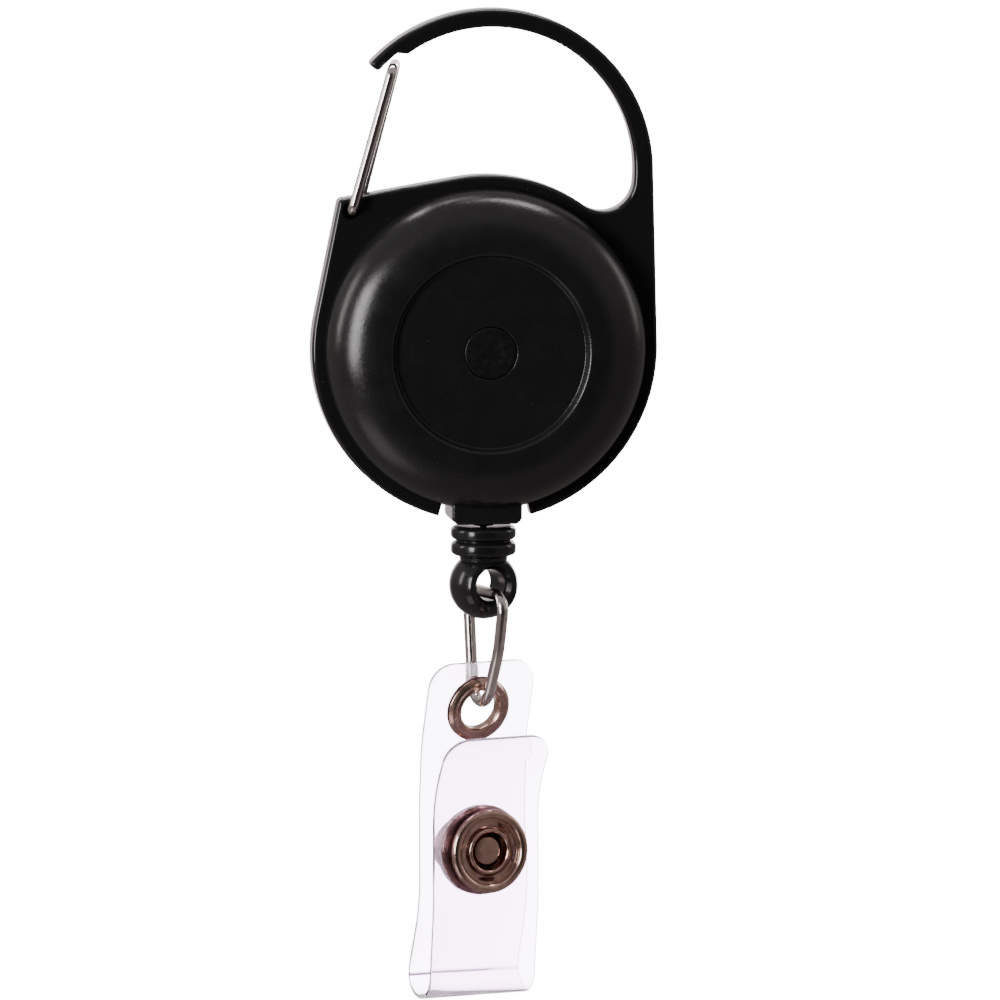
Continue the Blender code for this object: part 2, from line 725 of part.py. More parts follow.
def strap_mesh(name, line):
    """A sheet along a side-view line whose first end is a free end with rounded corners."""
    corner = [STRAP_CORNER_R * (1 - math.cos(k * math.pi / 10)) for k in range(6)]
    stations = []
    travelled = 0.0
    for start, end in zip(line, line[1:]):
        length = (end - start).length
        inside = [c for c in corner if travelled <= c < travelled + length]
        stations += [(start.lerp(end, (c - travelled) / length), c) for c in inside]
        travelled += length
        if travelled > STRAP_CORNER_R:
            stations.append((end, travelled))
    bm = bmesh.new()
    rows = []
    for point, distance in stations:
        half = STRAP_WIDTH / 2 - corner_cut(distance)
        rows.append([bm.verts.new((x, -point.x, point.y)) for x in (-half, half)])
    for row, following in zip(rows, rows[1:]):
        bm.faces.new((row[0], row[1], following[1], following[0]))
    mesh = bpy.data.meshes.new(name)
    bm.to_mesh(mesh)
    bm.free()
    return mesh


def build_sheet(name, mesh, axis, pivot, holes):
    sheet = add_part(name, mesh, CLEAR_VINYL, axis, pivot)
    solid = sheet.modifiers.new("sheet", "SOLIDIFY")
    solid.thickness = STRAP_THICKNESS
    solid.offset = 0.0
    for cut_name, radius, place in holes:
        cut = cylinder_mesh(cut_name, radius, 3 * MM)
        boolean(sheet, add_cutter(cut_name, cut, place))


def build_eyelet(place, pivot):
    """A tube with a rolled front rim, and the washer that it is clinched over behind."""
    half = STRAP_THICKNESS / 2 + GAP / 2
    barrel = [
        (EYELET_HOLE_R + 0.35 * MM, half + 0.35 * MM),
        (EYELET_R - 0.25 * MM, half + 0.3 * MM),
        (EYELET_R, half + 0.1 * MM),
        (EYELET_R, half),
        (EYELET_HOLE_R + 0.3 * MM, half),
        (EYELET_HOLE_R + 0.3 * MM, -half - 0.4 * MM),
        (EYELET_HOLE_R, -half - 0.4 * MM),
        (EYELET_HOLE_R, half + 0.15 * MM),
    ]
    turned("eyelet_barrel", barrel, NICKEL, place, pivot)
    inner = EYELET_HOLE_R + 0.6 * MM
    washer = [
        (inner, -half),
        (EYELET_R, -half),
        (EYELET_R, -half - 0.15 * MM),
        (EYELET_R - 0.2 * MM, -half - 0.35 * MM),
        (inner, -half - 0.35 * MM),
    ]
    turned("eyelet_washer", washer, NICKEL, place, pivot)


def build_snap_stud(place, pivot):
    """Fixed half: a capped post behind the back layer, and the hollow stud in front of it."""
    post = [
        (0.0, -0.95 * MM),
        (1.0 * MM, -0.95 * MM),
        (2.9 * MM, -0.85 * MM),
        (3.4 * MM, -0.6 * MM),
        (3.4 * MM, -0.5 * MM),
        (1.0 * MM, -0.5 * MM),
        (1.0 * MM, 2.4 * MM),
        (0.0, 2.4 * MM),
    ]
    turned("snap_post", post[::-1], NICKEL, place, pivot, closed=False)
    stud = [
        (0.0, 3.4 * MM),
        (1.35 * MM, 3.4 * MM),
        (1.6 * MM, 3.2 * MM),
        (1.75 * MM, 2.75 * MM),
        (1.55 * MM, 2.2 * MM),
        (1.55 * MM, 0.9 * MM),
        (3.6 * MM, 0.9 * MM),
        (3.8 * MM, 0.5 * MM),
        (1.3 * MM, 0.5 * MM),
        (1.3 * MM, 3.0 * MM),
        (0.0, 3.0 * MM),
    ]
    turned("snap_stud", stud, NICKEL, place, pivot, closed=False)


def build_snap_socket(place, pivot):
    """Moving half: socket behind the flap, spring ring inside it, and the ring on the front."""
    bore = 2.05 * MM
    tube = bore + 0.25 * MM
    socket = [
        (bore, 3.9 * MM),
        (tube, 3.9 * MM),
        (tube, 2.45 * MM),
        (4.35 * MM, 2.45 * MM),
        (4.55 * MM, 2.25 * MM),
        (4.55 * MM, 1.3 * MM),
        (4.35 * MM, 1.2 * MM),
        (bore, 1.2 * MM),
        (bore, 1.45 * MM),
        (3.9 * MM, 1.45 * MM),
        (3.9 * MM, 2.2 * MM),
        (bore, 2.2 * MM),
    ]
    turned("snap_socket", socket, NICKEL, place, pivot)
    ring = arc((0.0, 0.0), 2.6 * MM, math.radians(25), math.radians(335), math.radians(20))
    level = 1.82 * MM
    curve = wire_curve("snap_spring", [(p.x, p.y, level) for p in ring], 0.18 * MM, resolution=1)
    add_part("snap_spring", curve, SPRING_STEEL, place, pivot)
    inner = SOCKET_HOLE_R
    cap = [
        (inner, 3.7 * MM),
        (3.1 * MM, 3.7 * MM),
        (3.25 * MM, 3.95 * MM),
        (3.5 * MM, 3.9 * MM),
        (3.7 * MM, 4.2 * MM),
        (3.95 * MM, 4.25 * MM),
        (SNAP_RING_R, 3.95 * MM),
        (SNAP_RING_R, 3.6 * MM),
        (4.1 * MM, 3.45 * MM),
        (inner, 3.45 * MM),
    ]
    front = turned("snap_cap", cap, NICKEL, place, pivot)
    for number, angle in enumerate(SNAP_SLOT_ANGLES, 1):
        name = f"snap_slot_{number}"
        slot = box_mesh(name, (0.4 * MM, 0.9 * MM, 2.0 * MM))
        turn = Matrix.Rotation(math.radians(angle), 4, "Z")
        spot = place @ turn @ Matrix.Translation((inner, 0.0, 3.6 * MM))
        boolean(front, add_cutter(name, slot, spot))


def build_strap(axis):
    strap_pivot = empty("strap_axis", axis @ Matrix.Translation((0.0, 0.0, LINK_AXIS_Z)))
    hinge = axis @ Matrix.Translation((0.0, -HINGE.x, HINGE.y))
    flap_pivot = empty("flap_axis", hinge, strap_pivot)
    face_front = Matrix.Rotation(math.pi / 2, 4, "X")
    leaning = Matrix.Rotation(math.pi / 2 + STRAP_LEAN, 4, "X")
    eyelet = axis @ Matrix.Translation((0.0, -STRAP_OUT, EYELET_Z)) @ leaning
    snap = axis @ Matrix.Translation((0.0, -SNAP_OUT, SNAP_Z)) @ face_front
    flap_snap = snap @ Matrix.Translation((0.0, 0.0, SNAP_SPACING))

    back = strap_mesh("strap_back", back_line())
    holes = [
        ("eyelet_hole", EYELET_HOLE_R + 0.6 * MM, eyelet),
        ("stud_hole", STUD_HOLE_R, snap),
    ]
    build_sheet("strap_back", back, axis, strap_pivot, holes)
    flap = strap_mesh("strap_flap", flap_line()[::-1])
    build_sheet("strap_flap", flap, axis, flap_pivot, [("socket_hole", SOCKET_HOLE_R, flap_snap)])
    build_eyelet(eyelet, strap_pivot)
    build_snap_stud(snap, strap_pivot)
    build_snap_socket(snap, flap_pivot)


for old in list(bpy.data.objects):
    bpy.data.objects.remove(old)
parts = bpy.data.collections.new("retractable_badge_reel")
cutters = bpy.data.collections.new("cutters")
bpy.context.scene.collection.children.link(parts)
bpy.context.scene.collection.children.link(cutters)

case_axis = Matrix.Translation((CASE_X, 0.0, CASE_Z)) @ Matrix.Rotation(math.pi / 2, 4, "X")
cord_axis = Matrix.Translation((CASE_X, 0.0, 0.0)) @ Matrix.Rotation(LOWER_TURN, 4, "Z")
build_frame()
build_gate()
build_cover("front_cover", front_profile(), True, -1)
build_cover("back_cover", back_profile(), False, 1)
build_post(case_axis)
build_spool(case_axis)
build_power_spring(case_axis)
build_cord()
build_fitting(cord_axis)
build_link(cord_axis)
build_strap(cord_axis)
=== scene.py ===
"""Looks of the retractable badge reel: fine surfaces, wires, clear strap and materials round the
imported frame.

Lengths are in metres, written as millimetres times MM. +X is to the right, -Y is the front and
+Z is up. The cord end, link and strap are turned about the cord: in their side views a point is
(out, z), where "out" runs to the front along the axis that the link swings about.
"""

import json
from math import acos, asin, atan2, ceil, cos, pi, radians, sin, sqrt, tan

import bmesh
import bpy
from mathutils import Matrix, Vector


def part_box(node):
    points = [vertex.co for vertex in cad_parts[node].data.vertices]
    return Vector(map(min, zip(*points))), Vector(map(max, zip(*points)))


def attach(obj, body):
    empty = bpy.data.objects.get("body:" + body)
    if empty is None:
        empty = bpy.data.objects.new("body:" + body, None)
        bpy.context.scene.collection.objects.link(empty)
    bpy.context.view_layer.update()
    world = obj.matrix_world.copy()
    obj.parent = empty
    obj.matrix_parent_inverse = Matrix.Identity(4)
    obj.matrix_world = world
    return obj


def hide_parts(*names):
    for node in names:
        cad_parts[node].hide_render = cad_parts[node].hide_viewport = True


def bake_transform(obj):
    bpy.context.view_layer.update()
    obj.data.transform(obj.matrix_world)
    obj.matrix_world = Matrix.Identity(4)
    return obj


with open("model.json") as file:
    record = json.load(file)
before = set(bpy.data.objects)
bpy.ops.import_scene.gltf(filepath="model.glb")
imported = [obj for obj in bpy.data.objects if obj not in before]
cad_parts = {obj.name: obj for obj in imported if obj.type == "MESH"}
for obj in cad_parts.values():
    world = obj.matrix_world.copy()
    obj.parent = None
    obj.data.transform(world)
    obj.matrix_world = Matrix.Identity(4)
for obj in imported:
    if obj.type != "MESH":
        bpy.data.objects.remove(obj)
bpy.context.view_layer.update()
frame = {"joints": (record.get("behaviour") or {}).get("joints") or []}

MM = 0.001
JOINTS = {joint["name"]: joint for joint in frame["joints"]}
UPRIGHT = Matrix.Rotation(pi / 2, 4, "X")

# Places that the frame gives.
CASE = Vector(JOINTS["spool_spin"]["pos_m"])
CASE_AXIS = Matrix.Translation(CASE) @ UPRIGHT
GATE_PIVOT = Vector(JOINTS["gate_pivot"]["pos_m"])
OUTWARD = Vector(JOINTS["link_swing"]["axis"])
CORD_AXIS = Matrix.Translation((CASE.x, 0.0, 0.0)) @ Matrix.Rotation(
    atan2(OUTWARD.x, -OUTWARD.y), 4, "Z"
)
KNOT_Z = JOINTS["fitting_twist"]["pos_m"][2]
LINK_TOP_Z = JOINTS["link_swing"]["pos_m"][2]
FRAME_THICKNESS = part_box("carabiner_frame")[1].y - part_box("carabiner_frame")[0].y
CASE_FRONT = -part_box("front_cover")[0].y
CASE_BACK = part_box("back_cover")[1].y
CASE_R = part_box("front_cover")[1].x - CASE.x
SPOUT_END_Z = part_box("front_cover")[0].z
FITTING_TOP_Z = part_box("end_fitting")[1].z
BALL_BOTTOM_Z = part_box("end_fitting")[0].z

# Carabiner frame.
FRAME_EDGE = 0.42 * MM
HOOK_INNER_R = 14.4 * MM
HOOK_OUTER_R = 16.3 * MM
HOOK_OUTER_DROP = 0.1 * MM
BODY_R = 17.25 * MM
SEAT_R = 15.6 * MM
POCKET_R = 3.1 * MM
BODY_LEFT_LEAN = radians(11.5)
BODY_TOP_SLOPE = radians(9.5)
BODY_CORNER_R = 0.6 * MM
RING_GAP_HALF_ANGLE = radians(15.5)
TIP_ANGLE = radians(137.8)
TIP_INNER_R = 15.1 * MM
TIP_CORNER_R = 0.42 * MM
NOTCH_ANGLE = radians(124.7)
NOTCH_RAMP = radians(3.0)

# Wire gate.
GATE_WIRE_R = 0.525 * MM
GATE_FRONT_NOSE = Vector((-9.9 * MM, -3.93 * MM))
GATE_REAR_NOSE = Vector((-9.0 * MM, -3.75 * MM))
GATE_LEG_Y = 2.1 * MM
GATE_FOOT_IN = 0.7 * MM
GATE_BEND_R = 0.85 * MM
GATE_HOLE_R = 0.85 * MM
GATE_HOLE_DEPTH = 1.0 * MM
GATE_SWING = radians(45)
REAR_FOOT_OFFSET = Vector((1.0 * MM, -0.5 * MM))

# Case. The covers close up on the frame and on each other, with a hairline between them.
SEAM = 0.03 * MM
BARREL_R = 15.3 * MM
CASE_INNER_R = 14.1 * MM
LABEL_DEPTH = 0.7 * MM
POST_R = 1.5 * MM
POST_HEAD_R = 2.58 * MM
SPOUT_WIDTH = 7.0 * MM
SPOUT_DEPTH = 6.0 * MM
SPOUT_CORNER = 0.8 * MM
SPOUT_EDGE = 0.3 * MM
CORD_R = 0.35 * MM

# Cord end and link.
BALL_R = 3.42 * MM
BALL_FLAT = 2.2 * MM
BALL_HOLE_Z = -55.5 * MM
LINK_WIRE_R = 0.58 * MM
LINK_TOP_BACK = -3.25 * MM
LINK_TOP_FRONT = 4.4 * MM
LINK_KNEE = Vector((3.2 * MM, -62.0 * MM))
LINK_APEX = Vector((-1.65 * MM, -72.3 * MM))
LINK_BENDS = (1.6 * MM, 1.6 * MM, 12 * MM, 1.85 * MM)

# Strap, as one sheet from the top of its back layer round the fold to the flap's free end.
STRAP_WIDTH = 11.7 * MM
STRAP_THICKNESS = 0.4 * MM
STRAP_EDGE = 0.09 * MM
STRAP_CORNER_R = 2.5 * MM
STRAP_TOP_Z = -63.3 * MM
STRAP_OUT = -1.2 * MM
STRAP_LEAN = radians(15)
FOLD_CENTRE = Vector((-2.6 * MM, -94.6 * MM))
FOLD_R = 2.15 * MM
FLAP_TOP = Vector((3.6 * MM, -70.5 * MM))
EYELET_PUNCH_R = 2.45 * MM
STUD_PUNCH_R = 1.2 * MM
CAP_PUNCH_R = 3.3 * MM
EYELET_Z = -68.1 * MM
EYELET_R = 3.35 * MM
EYELET_HOLE_R = 2.0 * MM

# Snap fastener.
SNAP_Z = -82.1 * MM
SNAP_OUT = -2.5 * MM
SNAP_SPACING = 2.95 * MM
SNAP_ZONE = 5.5 * MM
SNAP_SLOT_ANGLES = (52, -8, -96)
SNAP_SLOT_HALF = 14
SNAP_SLOT_R = 2.8 * MM
SNAP_SLOT_HALF_WIDTH = 0.2 * MM

EYELET_PLACE = (
    CORD_AXIS
    @ Matrix.Translation((0.0, -STRAP_OUT, EYELET_Z))
    @ Matrix.Rotation(pi / 2 + STRAP_LEAN, 4, "X")
)
SNAP_PLACE = CORD_AXIS @ Matrix.Translation((0.0, -SNAP_OUT, SNAP_Z)) @ UPRIGHT

TURNED_STEPS = 160
SMALL_STEPS = 96
WELD = 1e-7

# Studio. Levels are radiances; the renderer's view shows 16 as white and 0.18 as middle grey.
MIDDLE = Vector((0.0, 0.0, -0.045))
LAMP_DISTANCE = 0.8
WHITE_LEVEL = 16.0
CAMERA_DISTANCE = 3.0
PIXELS_PER_METRE = 10100
CAMERA_AIM = Vector((0.00111, 0.0, -0.0472))
FLOOR_Z = -0.30
FLOOR_R = 14.0
FLOOR_ALBEDO = 0.85
# What reflections see, from the front (0) to the back (1): place, level and tint.
AROUND_STOPS = [
    (0.0, 0.05, (1.0, 0.94, 0.93)),
    (0.05, 0.06, (1.0, 0.94, 0.93)),
    (0.17, 0.36, (1.0, 0.90, 0.88)),
    (0.40, 0.36, (1.0, 0.93, 0.92)),
    (0.60, 0.45, (1.0, 0.92, 0.92)),
    (0.90, 0.35, (1.0, 0.92, 0.92)),
    (0.97, 1.90, (1.0, 0.90, 0.91)),
    (1.0, 2.10, (1.0, 0.90, 0.91)),
]


# ---- lines and meshes


def polar(centre, radius, angle):
    """The point of a circle at this angle, as a 2D vector."""
    return Vector((centre[0] + radius * cos(angle), centre[1] + radius * sin(angle)))


def arc(centre, radius, start, end, step=radians(1.5)):
    """Points along a circle from start to end, both included."""
    count = max(2, ceil(abs(end - start) / step) + 1)
    return [polar(centre, radius, start + (end - start) * i / (count - 1)) for i in range(count)]


def meeting(point_a, angle_a, point_b, angle_b):
    """Where two lines cross, each given by a point and the angle that it runs at."""
    along_a = Vector((cos(angle_a), sin(angle_a)))
    along_b = Vector((cos(angle_b), sin(angle_b)))
    reach = (point_b - point_a).cross(along_b) / along_a.cross(along_b)
    return point_a + along_a * reach


def round_corner(before, corner, after, radius, step):
    """Points of the arc of this radius that rounds one corner, in 2D or 3D."""
    back = (before - corner).normalized()
    ahead = (after - corner).normalized()
    half = back.angle(ahead) / 2
    if radius == 0 or half > pi / 2 - 1e-4:
        return [corner.copy()]
    centre = corner + (back + ahead).normalized() * (radius / sin(half))
    first = corner + back * (radius / tan(half)) - centre
    last = corner + ahead * (radius / tan(half)) - centre
    swing = first.angle(last)
    count = max(2, ceil(swing / step))
    points = []
    for k in range(count + 1):
        share = k / count
        mix = first * sin((1 - share) * swing) + last * sin(share * swing)
        points.append(centre + mix / sin(swing))
    return points


def rounded(corners, radii, closed=False, step=radians(6)):
    """A line through the corners with each one rounded; radii is one number or one per corner."""
    count = len(corners)
    if not isinstance(radii, (list, tuple)):
        radii = [radii] * count
    points = []
    for i, corner in enumerate(corners):
        if not closed and i in (0, count - 1):
            points.append(corner.copy())
        else:
            points += round_corner(corners[i - 1], corner, corners[(i + 1) % count], radii[i], step)
    return points


def profile_line(profile, closed, step=radians(9)):
    """A profile of (radius, height) or (radius, height, corner radius), in millimetres."""
    corners = [Vector((spot[0], spot[1])) * MM for spot in profile]
    radii = [spot[2] * MM if len(spot) > 2 else 0.0 for spot in profile]
    return rounded(corners, radii, closed, step)


def moved(x=0.0, y=0.0, z=0.0):
    """A matrix that moves by these distances."""
    return Matrix.Translation((x, y, z))


def placed(name, data, place=Matrix()):
    """A new object in the scene with this data, at this place."""
    thing = bpy.data.objects.new(name, data)
    bpy.context.scene.collection.objects.link(thing)
    thing.matrix_world = place
    return thing


def face_outwards(bm):
    """Turns the faces of a closed surface outwards."""
    bmesh.ops.recalc_face_normals(bm, faces=bm.faces)
    if bm.calc_volume(signed=True) < 0:
        bmesh.ops.reverse_faces(bm, faces=bm.faces)


def mesh_from(bm, name):
    """The finished closed surface as a mesh."""
    face_outwards(bm)
    mesh = bpy.data.meshes.new(name)
    bm.to_mesh(mesh)
    bm.free()
    return mesh


def lathe(name, profile, steps=SMALL_STEPS):
    """A turned mesh round Z. A profile that starts on the axis ends there too, and any other one
    is a closed loop."""
    closed = profile[0][0] > 0
    bm = bmesh.new()
    rings = []
    for radius, height in profile_line(profile, closed):
        count = 1 if radius < WELD else steps
        ring = []
        for i in range(count):
            angle = 2 * pi * i / steps
            ring.append(bm.verts.new((radius * cos(angle), radius * sin(angle), height)))
        rings.append(ring)
    for ring, following in zip(rings, rings[1:] + (rings[:1] if closed else [])):
        for i in range(steps):
            j = (i + 1) % steps
            corners = [ring[i % len(ring)], ring[j % len(ring)]]
            corners += [following[j % len(following)], following[i % len(following)]]
            face = list(dict.fromkeys(corners))
            if len(face) > 2:
                bm.faces.new(face)
    return mesh_from(bm, name)


def opened(mesh):
    """The mesh as an editable surface, with its name. The mesh is removed."""
    bm = bmesh.new()
    bm.from_mesh(mesh)
    name = mesh.name
    bpy.data.meshes.remove(mesh)
    return bm, name


def curve_mesh(curve, name):
    """The curve as a welded mesh. The curve is removed."""
    holder = placed(name, curve)
    graph = bpy.context.evaluated_depsgraph_get()
    made = bpy.data.meshes.new_from_object(holder.evaluated_get(graph), depsgraph=graph)
    bpy.data.objects.remove(holder)
    bpy.data.curves.remove(curve)
    bm = opened(made)[0]
    bmesh.ops.remove_doubles(bm, verts=bm.verts, dist=WELD * 10)
    return mesh_from(bm, name)


def poly_line(curve, points, closed):
    """Adds a line of straight stretches through the points, which are 3D."""
    spline = curve.splines.new("POLY")
    spline.points.add(len(points) - 1)
    for spot, point in zip(spline.points, points):
        spot.co = (*point, 1.0)
    spline.use_cyclic_u = closed


def wire(name, points, radius, closed=False, sides=6):
    """A round wire along the points; it has four times this many sides."""
    curve = bpy.data.curves.new(name, "CURVE")
    curve.dimensions = "3D"
    curve.bevel_depth = radius
    curve.bevel_resolution = 2 * sides - 2
    curve.use_fill_caps = not closed
    poly_line(curve, points, closed)
    return curve_mesh(curve, name)


def plate(name, outline, thickness, edge, resolution=4):
    """A flat plate on XY with this outline, centred on Z, with rounded edges."""
    curve = bpy.data.curves.new(name, "CURVE")
    curve.dimensions = "2D"
    curve.fill_mode = "BOTH"
    curve.extrude = thickness / 2 - edge
    curve.bevel_depth = edge
    curve.bevel_resolution = resolution
    curve.offset = -edge
    poly_line(curve, [(*point, 0.0) for point in outline], True)
    return curve_mesh(curve, name)


def box(name, size):
    """A box centred on its origin."""
    bm = bmesh.new()
    bmesh.ops.create_cube(bm, size=1.0, matrix=Matrix.Diagonal((*size, 1.0)))
    return mesh_from(bm, name)


def carved(mesh, cutters, operation="DIFFERENCE"):
    """The mesh after the cutters, (mesh, matrix) pairs, are taken from it or joined to it."""
    target = placed(mesh.name, mesh)
    helpers = []
    for cutter, place in cutters:
        helper = placed(cutter.name, cutter, place)
        modifier = target.modifiers.new(cutter.name, "BOOLEAN")
        modifier.operation = operation
        modifier.object = helper
        helpers.append(helper)
    bpy.context.view_layer.update()
    graph = bpy.context.evaluated_depsgraph_get()
    made = bpy.data.meshes.new_from_object(target.evaluated_get(graph), depsgraph=graph)
    name = mesh.name
    for holder in (target, *helpers):
        data = holder.data
        bpy.data.objects.remove(holder)
        bpy.data.meshes.remove(data)
    made.name = name
    return made


def bisect(bm, point, normal, clear=False):
    """Cuts the surface along a plane, and can clear what lies behind the plane."""
    everything = bm.verts[:] + bm.edges[:] + bm.faces[:]
    return bmesh.ops.bisect_plane(
        bm, geom=everything, plane_co=point, plane_no=normal, clear_inner=clear
    )


def half_mesh(mesh, side, gap):
    """What is left of the mesh on one side of the plane z = 0, side 1 above it or -1 below."""
    bm, name = opened(mesh)
    cut = bisect(bm, (0.0, 0.0, side * gap), (0.0, 0.0, side), clear=True)
    rim = [item for item in cut["geom_cut"] if isinstance(item, bmesh.types.BMEdge)]
    bmesh.ops.edgeloop_fill(bm, edges=rim)
    return mesh_from(bm, name)


def flat(point, y=0.0):
    """A point of a front view (x, z) set in space at this depth."""
    return Vector((point[0], y, point[1]))


def add_piece(mesh, look, body, nodes, place=Matrix(), sharp=38, even=False):
    """One visible piece: its material, its body, and the CAD nodes it stands for, which it hides.
    even weights its shading by face area, for a piece with large flat faces."""
    material, slot = look
    piece = placed(mesh.name, mesh, place)
    mesh.materials.clear()
    mesh.materials.append(material)
    mesh.shade_smooth()
    mesh.set_sharp_from_angle(angle=radians(sharp))
    if even:
        normals = piece.modifiers.new("even_shading", "WEIGHTED_NORMAL")
        normals.keep_sharp = True
    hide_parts(*nodes)
    if body:
        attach(piece, body)
    return piece


# ---- materials


def add_node(tree, kind, inputs=(), **settings):
    """A shader node of this kind with these settings, and these inputs as values or links."""
    made = tree.nodes.new("ShaderNode" + kind)
    for key, value in settings.items():
        setattr(made, key, value)
    for socket, value in dict(inputs).items():
        if isinstance(value, bpy.types.NodeSocket):
            tree.links.new(value, made.inputs[socket])
        else:
            made.inputs[socket].default_value = value
    return made


def mix_colours(tree, share, first, second, blend_type="MIX"):
    """A colour made from two, each a triple or a link."""
    settings = {"data_type": "RGBA", "blend_type": blend_type}
    made = add_node(tree, "Mix", {"Factor": share}, **settings)
    targets = [item for item in made.inputs if item.type == "RGBA"]
    for target, colour in zip(targets, (first, second)):
        if isinstance(colour, bpy.types.NodeSocket):
            tree.links.new(colour, target)
        else:
            target.default_value = (*colour, 1.0)
    return [item for item in made.outputs if item.type == "RGBA"][0]


class Finish:
    """A material under construction: a Principled shader and the nodes that feed it."""

    def __init__(self, name, colour, roughness, metallic=0.0):
        self.material = bpy.data.materials.new(name)
        self.material.use_nodes = True
        self.tree = self.material.node_tree
        self.shader = self.tree.nodes["Principled BSDF"]
        self.set("Base Color", (*colour, 1.0))
        self.set("Roughness", roughness)
        self.set("Metallic", metallic)
        self.coordinates = self.node("TexCoord").outputs["Object"]
        self.height = None

    def set(self, socket, value):
        self.shader.inputs[socket].default_value = value

    def node(self, kind, inputs=(), **settings):
        return add_node(self.tree, kind, inputs, **settings)

    def noise(self, size, detail=2.0, roughness=0.5, stretch=None):
        """Noise whose features are about this size; stretch scales the coordinates first."""
        vector = self.coordinates
        if stretch:
            scaled = self.node("Mapping", {"Vector": vector, "Scale": stretch})
            vector = scaled.outputs["Vector"]
        inputs = {"Vector": vector, "Scale": 1 / size, "Detail": detail, "Roughness": roughness}
        return self.node("TexNoise", inputs).outputs["Fac"]

    def spots(self, spacing, radius):
        """1 inside small round spots scattered at about this spacing, 0 outside them."""
        inputs = {"Vector": self.coordinates, "Scale": 1 / spacing}
        distance = self.node("TexVoronoi", inputs).outputs["Distance"]
        inputs = {0: distance, 1: radius / spacing}
        return self.node("Math", inputs, operation="LESS_THAN").outputs["Value"]

    def ranged(self, value, low, high, start=0.3, end=0.7):
        """The value's start to end spread over low to high."""
        inputs = {"Value": value, "From Min": start, "From Max": end, "To Min": low, "To Max": high}
        return self.node("MapRange", inputs).outputs["Result"]

    def feed(self, socket, source):
        self.tree.links.new(source, self.shader.inputs[socket])

    def tint(self, share, first, second):
        """Makes the base colour a mix of two, each a triple or a link."""
        self.feed("Base Color", mix_colours(self.tree, share, first, second))

    def relief(self, height, depth):
        """Adds a bump of this depth on top of the ones before it."""
        inputs = {"Height": height, "Distance": depth}
        if self.height is not None:
            inputs["Normal"] = self.height
        self.height = self.node("Bump", inputs).outputs["Normal"]
        self.feed("Normal", self.height)


def gloss_black():
    """Moulded gloss plastic: slight orange peel, hairline scuffs and a few specks of dust."""
    finish = Finish("gloss_black_plastic", (0.012, 0.012, 0.013), 0.16)
    cloudy = finish.noise(3.0 * MM, 3.0)
    scuffs = finish.noise(0.25 * MM, 3.0, 0.7, (0.12, 1.0, 1.0))
    rough = finish.ranged(cloudy, 0.10, 0.19)
    more = finish.ranged(scuffs, 0.0, 0.10, 0.58, 0.75)
    total = finish.node("Math", {0: rough, 1: more}, operation="ADD").outputs["Value"]
    finish.feed("Roughness", total)
    dust = finish.spots(1.9 * MM, 0.045 * MM)
    finish.tint(dust, (0.012, 0.012, 0.013), (0.12, 0.12, 0.12))
    finish.relief(finish.noise(0.9 * MM, 1.0), 0.004 * MM)
    finish.relief(scuffs, 0.0006 * MM)
    return finish.material


def satin_black():
    """Spark-eroded black plastic: a fine grain that breaks highlights into speckle."""
    finish = Finish("satin_black_plastic", (0.014, 0.014, 0.0145), 0.42)
    grain = finish.noise(0.16 * MM, 2.0, 0.6)
    cloudy = finish.noise(2.2 * MM, 3.0)
    finish.feed("Roughness", finish.ranged(cloudy, 0.18, 0.24))
    share = finish.ranged(cloudy, 0.0, 1.0)
    patch = mix_colours(finish.tree, share, (0.012, 0.012, 0.0125), (0.015, 0.015, 0.0155))
    dust = finish.spots(2.3 * MM, 0.05 * MM)
    finish.tint(dust, patch, (0.10, 0.10, 0.10))
    finish.relief(grain, 0.014 * MM)
    finish.relief(finish.noise(0.45 * MM, 2.0), 0.005 * MM)
    return finish.material


def post_black():
    """The smooth, darker end of the post."""
    finish = Finish("post_black_plastic", (0.006, 0.006, 0.006), 0.34)
    marks = finish.noise(0.5 * MM, 4.0, 0.65)
    finish.feed("Roughness", finish.ranged(marks, 0.28, 0.5))
    finish.relief(marks, 0.015 * MM)
    return finish.material


def wire_steel():
    """Bright plated wire with faint drawing lines and darker smudges."""
    finish = Finish("plated_wire", (0.80, 0.74, 0.72), 0.14, 1.0)
    smudge = finish.noise(1.6 * MM, 3.0)
    lines = finish.noise(0.08 * MM, 2.0, 0.6, (1.0, 1.0, 0.05))
    finish.feed("Roughness", finish.ranged(smudge, 0.10, 0.20))
    finish.tint(finish.ranged(smudge, 0.0, 1.0), (0.84, 0.78, 0.76), (0.68, 0.60, 0.57))
    finish.relief(lines, 0.0015 * MM)
    return finish.material


def nickel():
    """Pressed nickel plate, warm in tone, with smudges and fine tool marks."""
    finish = Finish("nickel_plate", (0.56, 0.47, 0.42), 0.2, 1.0)
    smudge = finish.noise(1.1 * MM, 4.0, 0.6)
    finish.feed("Roughness", finish.ranged(smudge, 0.13, 0.28))
    finish.tint(finish.ranged(smudge, 0.0, 1.0), (0.76, 0.55, 0.47), (0.54, 0.35, 0.28))
    finish.relief(finish.noise(0.12 * MM, 2.0), 0.002 * MM)
    return finish.material


def spring_steel():
    """Blued spring strip, streaked along its width."""
    finish = Finish("blued_spring_steel", (0.33, 0.34, 0.37), 0.3, 1.0)
    streak = finish.noise(0.3 * MM, 3.0, 0.6, (1.0, 1.0, 0.08))
    finish.feed("Roughness", finish.ranged(streak, 0.22, 0.42))
    finish.tint(finish.ranged(streak, 0.0, 1.0), (0.40, 0.41, 0.44), (0.24, 0.25, 0.30))
    finish.relief(streak, 0.002 * MM)
    return finish.material


